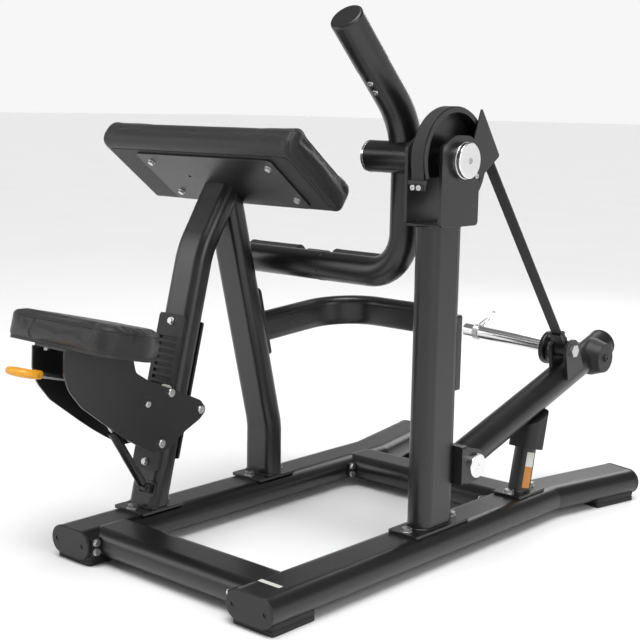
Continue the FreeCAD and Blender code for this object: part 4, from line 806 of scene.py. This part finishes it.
def build_feet():
    """Rubber blocks under the rails, moulded with tread grooves on the outside walls."""
    feet = []
    width = 0.106
    height = 0.0255
    for origin, out, length in foot_frames():
        across = out.cross(Z)
        start = origin - out * (length + 0.004)
        corners = ((-width / 2, 0), (width / 2, 0), (width / 2, length), (-width / 2, length))
        outline = rounded_outline(corners, (0.006,) * 4, 5)
        bm = bmesh.new()
        levels = ((0.0, 0.0012), (0.0012, 0.0), (0.0100, 0.0), (0.0110, 0.0012), (0.0130, 0.0012),
                  (0.0140, 0.0), (height - 0.0015, 0.0), (height, 0.0015))
        middle = Vector((0, length / 2))
        rings = []
        for z, inset in levels:
            ring = []
            for p in outline:
                away = p - middle
                q = middle + Vector((away.x * (1 - inset / (width / 2)), away.y * (1 - inset / (length / 2))))
                ring.append(bm.verts.new(start + across * q.x + out * q.y + Z * z))
            rings.append(ring)
        loft(bm, rings)
        feet.append(new_object("foot", bm, RUBBER))
    foot = join("moulded_feet", feet)
    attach(foot, "frame")
    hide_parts("rubber_feet")


# ---------------------------------------------------------------- belt
BELT_MID_R = 0.107
BELT_W = 0.028
BELT_T = 0.004
RUN_END = 0.020


def belt_geometry():
    """Touch point on the cam, run direction, outward normal and length of the straight run."""
    to_clevis = CLEVIS - PIVOT
    angle = math.atan2(to_clevis.z, to_clevis.y) + math.acos(BELT_MID_R / to_clevis.length)
    normal = Vector((0, math.cos(angle), math.sin(angle)))
    touch = PIVOT + normal * BELT_MID_R
    run = CLEVIS - touch
    return touch, run.normalized(), normal, run.length


def build_belt_run():
    touch, along, normal, length = belt_geometry()
    bm = bmesh.new()
    half_w = BELT_W / 2
    half_t = BELT_T / 2
    edge = 0.0012
    section = rounded_outline(((-half_w, -half_t), (half_w, -half_t), (half_w, half_t), (-half_w, half_t)),
                              (edge,) * 4, 3)
    rings = []
    steps = 90
    for k in range(steps + 1):
        base = touch + along * (0.0006 + (length - RUN_END - 0.0006) * k / steps)
        rings.append([bm.verts.new(base + X * p.x + normal * p.y) for p in section])
    loft(bm, rings)
    belt = new_object("belt_straight", bm, BELT)
    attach(belt, "drive_belt")
    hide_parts("belt_run")
    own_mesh(belt)


# ---------------------------------------------------------------- release handle
def build_handle():
    """Dipped wire loop, longer across than deep, with a socket on the pull rod."""
    start = POST_BASE + POST_DIR * 0.253 + POST_BACK * 0.363 - X * 0.018
    centre = start + POST_BACK * 0.026
    loop = []
    count = 56
    for k in range(count):
        angle = 2 * math.pi * k / count
        c, s = math.cos(angle), math.sin(angle)
        flat = abs(c) ** 0.75 * (1 if c > 0 else -1)
        loop.append(centre + X * (0.0285 * s) + POST_BACK * (0.0245 * flat))
    ring = tube_along("loop", loop, 0.0082, YELLOW, 20, closed=True)
    socket_profile = [(0.0, 0.0), (0.0, 0.0078), (0.0015, 0.0092), (0.018, 0.0095), (0.024, 0.0080),
                      (0.024, 0.0)]
    socket = lathe("socket", start - POST_BACK * 0.020, POST_BACK, socket_profile, YELLOW, 28)
    handle = join("pull_handle", [ring, socket])
    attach(handle, "seat_release")
    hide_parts("release_handle")


# ---------------------------------------------------------------- welds and labels
def bead(name, loop, body, radius=0.0022):
    """Weld bead with the ripple of a hand-run weld."""
    fine = []
    count = len(loop)
    for i, point in enumerate(loop):
        ahead = loop[(i + 1) % count]
        steps = max(1, int((ahead - point).length / 0.0016))
        fine += [point.lerp(ahead, k / steps) for k in range(steps)]
    made = tube_along(name, fine, radius, PAINT, 8, closed=True)
    ripple = made.data.vertices
    for i, vert in enumerate(ripple):
        ring = i // 8
        middle = fine[ring % len(fine)]
        swell = 1.0 + 0.16 * math.sin(ring * 2.1) + random.uniform(-0.05, 0.05)
        vert.co = middle + (vert.co - middle) * swell
    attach(made, body)
    return made


def outline_loop(origin, u, v, width, depth, radius):
    w, d = width / 2, depth / 2
    radius = min(radius, w * 0.999, d * 0.999)
    outline = rounded_outline(((-w, -d), (w, -d), (w, d), (-w, d)), (radius,) * 4, 10)
    return [origin + u * p.x + v * p.y for p in outline]


def build_welds():
    y_axis = Vector((0, 1, 0))
    bead("weld_upright_foot", outline_loop(at(531, 551, 81), X, y_axis, 0.060, 0.118, 0.030), "frame")
    bead("weld_upright_top", outline_loop(at(531, 551, 721), X, y_axis, 0.060, 0.118, 0.030), "frame")
    slant = Vector((0, 1 / math.cos(math.radians(14.2)), 0))
    bead("weld_seat_post", outline_loop(at(0, 218, 81), X, slant, 0.092, 0.052, 0.021), "frame")
    bead("weld_front_leg", outline_loop(at(0, 588, 81), X, y_axis, 0.092, 0.052, 0.021), "frame")
    stop_slant = Vector((0, 1 / math.cos(math.radians(13)), 0))
    bead("weld_stop_post", outline_loop(at(531, 902, 81), X, stop_slant, 0.052, 0.052, 0.026), "frame")


def build_labels():
    """A blank film label on the right rail and two plain films on the stop post."""
    bm = bmesh.new()
    corners = ((-0.028, -0.006), (0.028, -0.006), (0.028, 0.006), (-0.028, 0.006))
    outline = rounded_outline(corners, (0.0015,) * 4, 4)
    prism(bm, outline, at(523, 66, 74), X, Vector((0, 1, 0)), Z * 0.0003)
    label = new_object("blank_rail_label", bm, LABEL, False)
    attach(label, "frame")
    build_band("blank_post_label", 0.058, 0.092, LABEL)
    build_band("blank_post_band", 0.008, 0.058, BAND)


def build_band(name, low, high, material):
    """Thin film wrapped round the front of the stop post between two heights."""
    axis = yz(77)
    base = at(531, 902, 80)
    bm = bmesh.new()
    side = Vector((0.94, -0.342, 0)).normalized()
    side = (side - axis * side.dot(axis)).normalized()
    other = axis.cross(side)
    columns = 12
    outline = []
    for k in range(columns + 1):
        angle = math.radians(-25 + 50 * k / columns)
        outline.append(Vector((math.cos(angle), math.sin(angle))))
    ring = [p * 0.0254 for p in outline] + [p * 0.0251 for p in reversed(outline)]
    prism(bm, ring, base + axis * low, side, other, axis * (high - low))
    band = new_object(name, bm, material, False)
    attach(band, "frame")


# ---------------------------------------------------------------- studio
FLOOR_HALF = 90.0


def build_studio():
    bm = bmesh.new()
    for x, y in ((-1, -1), (1, -1), (1, 1), (-1, 1)):
        bm.verts.new((x * FLOOR_HALF, y * FLOOR_HALF, 0.0))
    bm.faces.new(bm.verts)
    floor = new_object("studio_floor", bm, floor_material(), False)
    world = bpy.data.worlds.new("studio")
    bpy.context.scene.world = world
    world.use_nodes = True
    back = world.node_tree.nodes["Background"]
    # white round the horizon, dimmer overhead, so that dark paint keeps its depth
    coords = world.node_tree.nodes.new("ShaderNodeTexCoord")
    split = world.node_tree.nodes.new("ShaderNodeSeparateXYZ")
    fade = world.node_tree.nodes.new("ShaderNodeMapRange")
    for socket, value in (("From Min", 0.10), ("From Max", 0.34), ("To Min", 0.93), ("To Max", 0.20)):
        fade.inputs[socket].default_value = value
    world.node_tree.links.new(coords.outputs["Generated"], split.inputs[0])
    world.node_tree.links.new(split.outputs["Z"], fade.inputs["Value"])
    world.node_tree.links.new(fade.outputs[0], back.inputs[1])
    back.inputs[0].default_value = (1.0, 1.0, 1.0, 1.0)
    sun = bpy.data.lights.new("overhead_sun", "SUN")
    sun.energy = 2.6
    sun.angle = math.radians(40)
    sun_lamp = bpy.data.objects.new("overhead_sun", sun)
    sun_lamp.rotation_euler = (math.radians(14), math.radians(10), 0)
    bpy.context.scene.collection.objects.link(sun_lamp)
    lights = (
        ("top_softbox", (0.3, -0.2, 3.6), (0.0, 0.0, 0.5), 3.2, 22),
        ("right_softbox", (3.4, -0.6, 1.9), (0.0, 0.1, 0.6), 1.9, 34),
        ("rear_left_softbox", (-2.6, -2.6, 2.0), (0.0, 0.0, 0.6), 1.8, 22),
        ("front_strip", (-0.8, 3.4, 2.2), (0.0, 0.0, 0.7), 1.6, 24),
    )
    for name, place, aim, size, power in lights:
        data = bpy.data.lights.new(name, "AREA")
        data.size = size
        data.energy = power
        lamp = bpy.data.objects.new(name, data)
        lamp.location = place
        direction = Vector(aim) - Vector(place)
        lamp.rotation_euler = direction.to_track_quat("-Z", "Y").to_euler()
        bpy.context.scene.collection.objects.link(lamp)
    bpy.context.scene.view_settings.view_transform = "Standard"


CAMERA_AT = at(2122.5, -1617.2, 961.8)
AZIMUTH = math.radians(41.45)
PITCH = math.radians(9.38)
ROLL = math.radians(1.03)
LENS_MM = 72.75


def build_camera():
    right = Vector((math.cos(AZIMUTH), math.sin(AZIMUTH), 0))
    forward = Vector((-math.sin(AZIMUTH) * math.cos(PITCH), math.cos(AZIMUTH) * math.cos(PITCH),
                      -math.sin(PITCH)))
    up = right.cross(forward)
    x_axis = right * math.cos(ROLL) + up * math.sin(ROLL)
    y_axis = up * math.cos(ROLL) - right * math.sin(ROLL)
    data = bpy.data.cameras.new("camera")
    data.sensor_width = 36.0
    data.lens = LENS_MM
    camera = bpy.data.objects.new("camera", data)
    rotation = Matrix((x_axis, y_axis, -forward)).transposed()
    camera.matrix_world = Matrix.Translation(CAMERA_AT) @ rotation.to_4x4()
    bpy.context.scene.collection.objects.link(camera)
    bpy.context.scene.camera = camera


dress_nodes()
build_camera()
build_studio()
build_arm_pad()
build_seat()
build_grips()
build_feet()
build_belt_run()
build_handle()
build_welds()
build_labels()
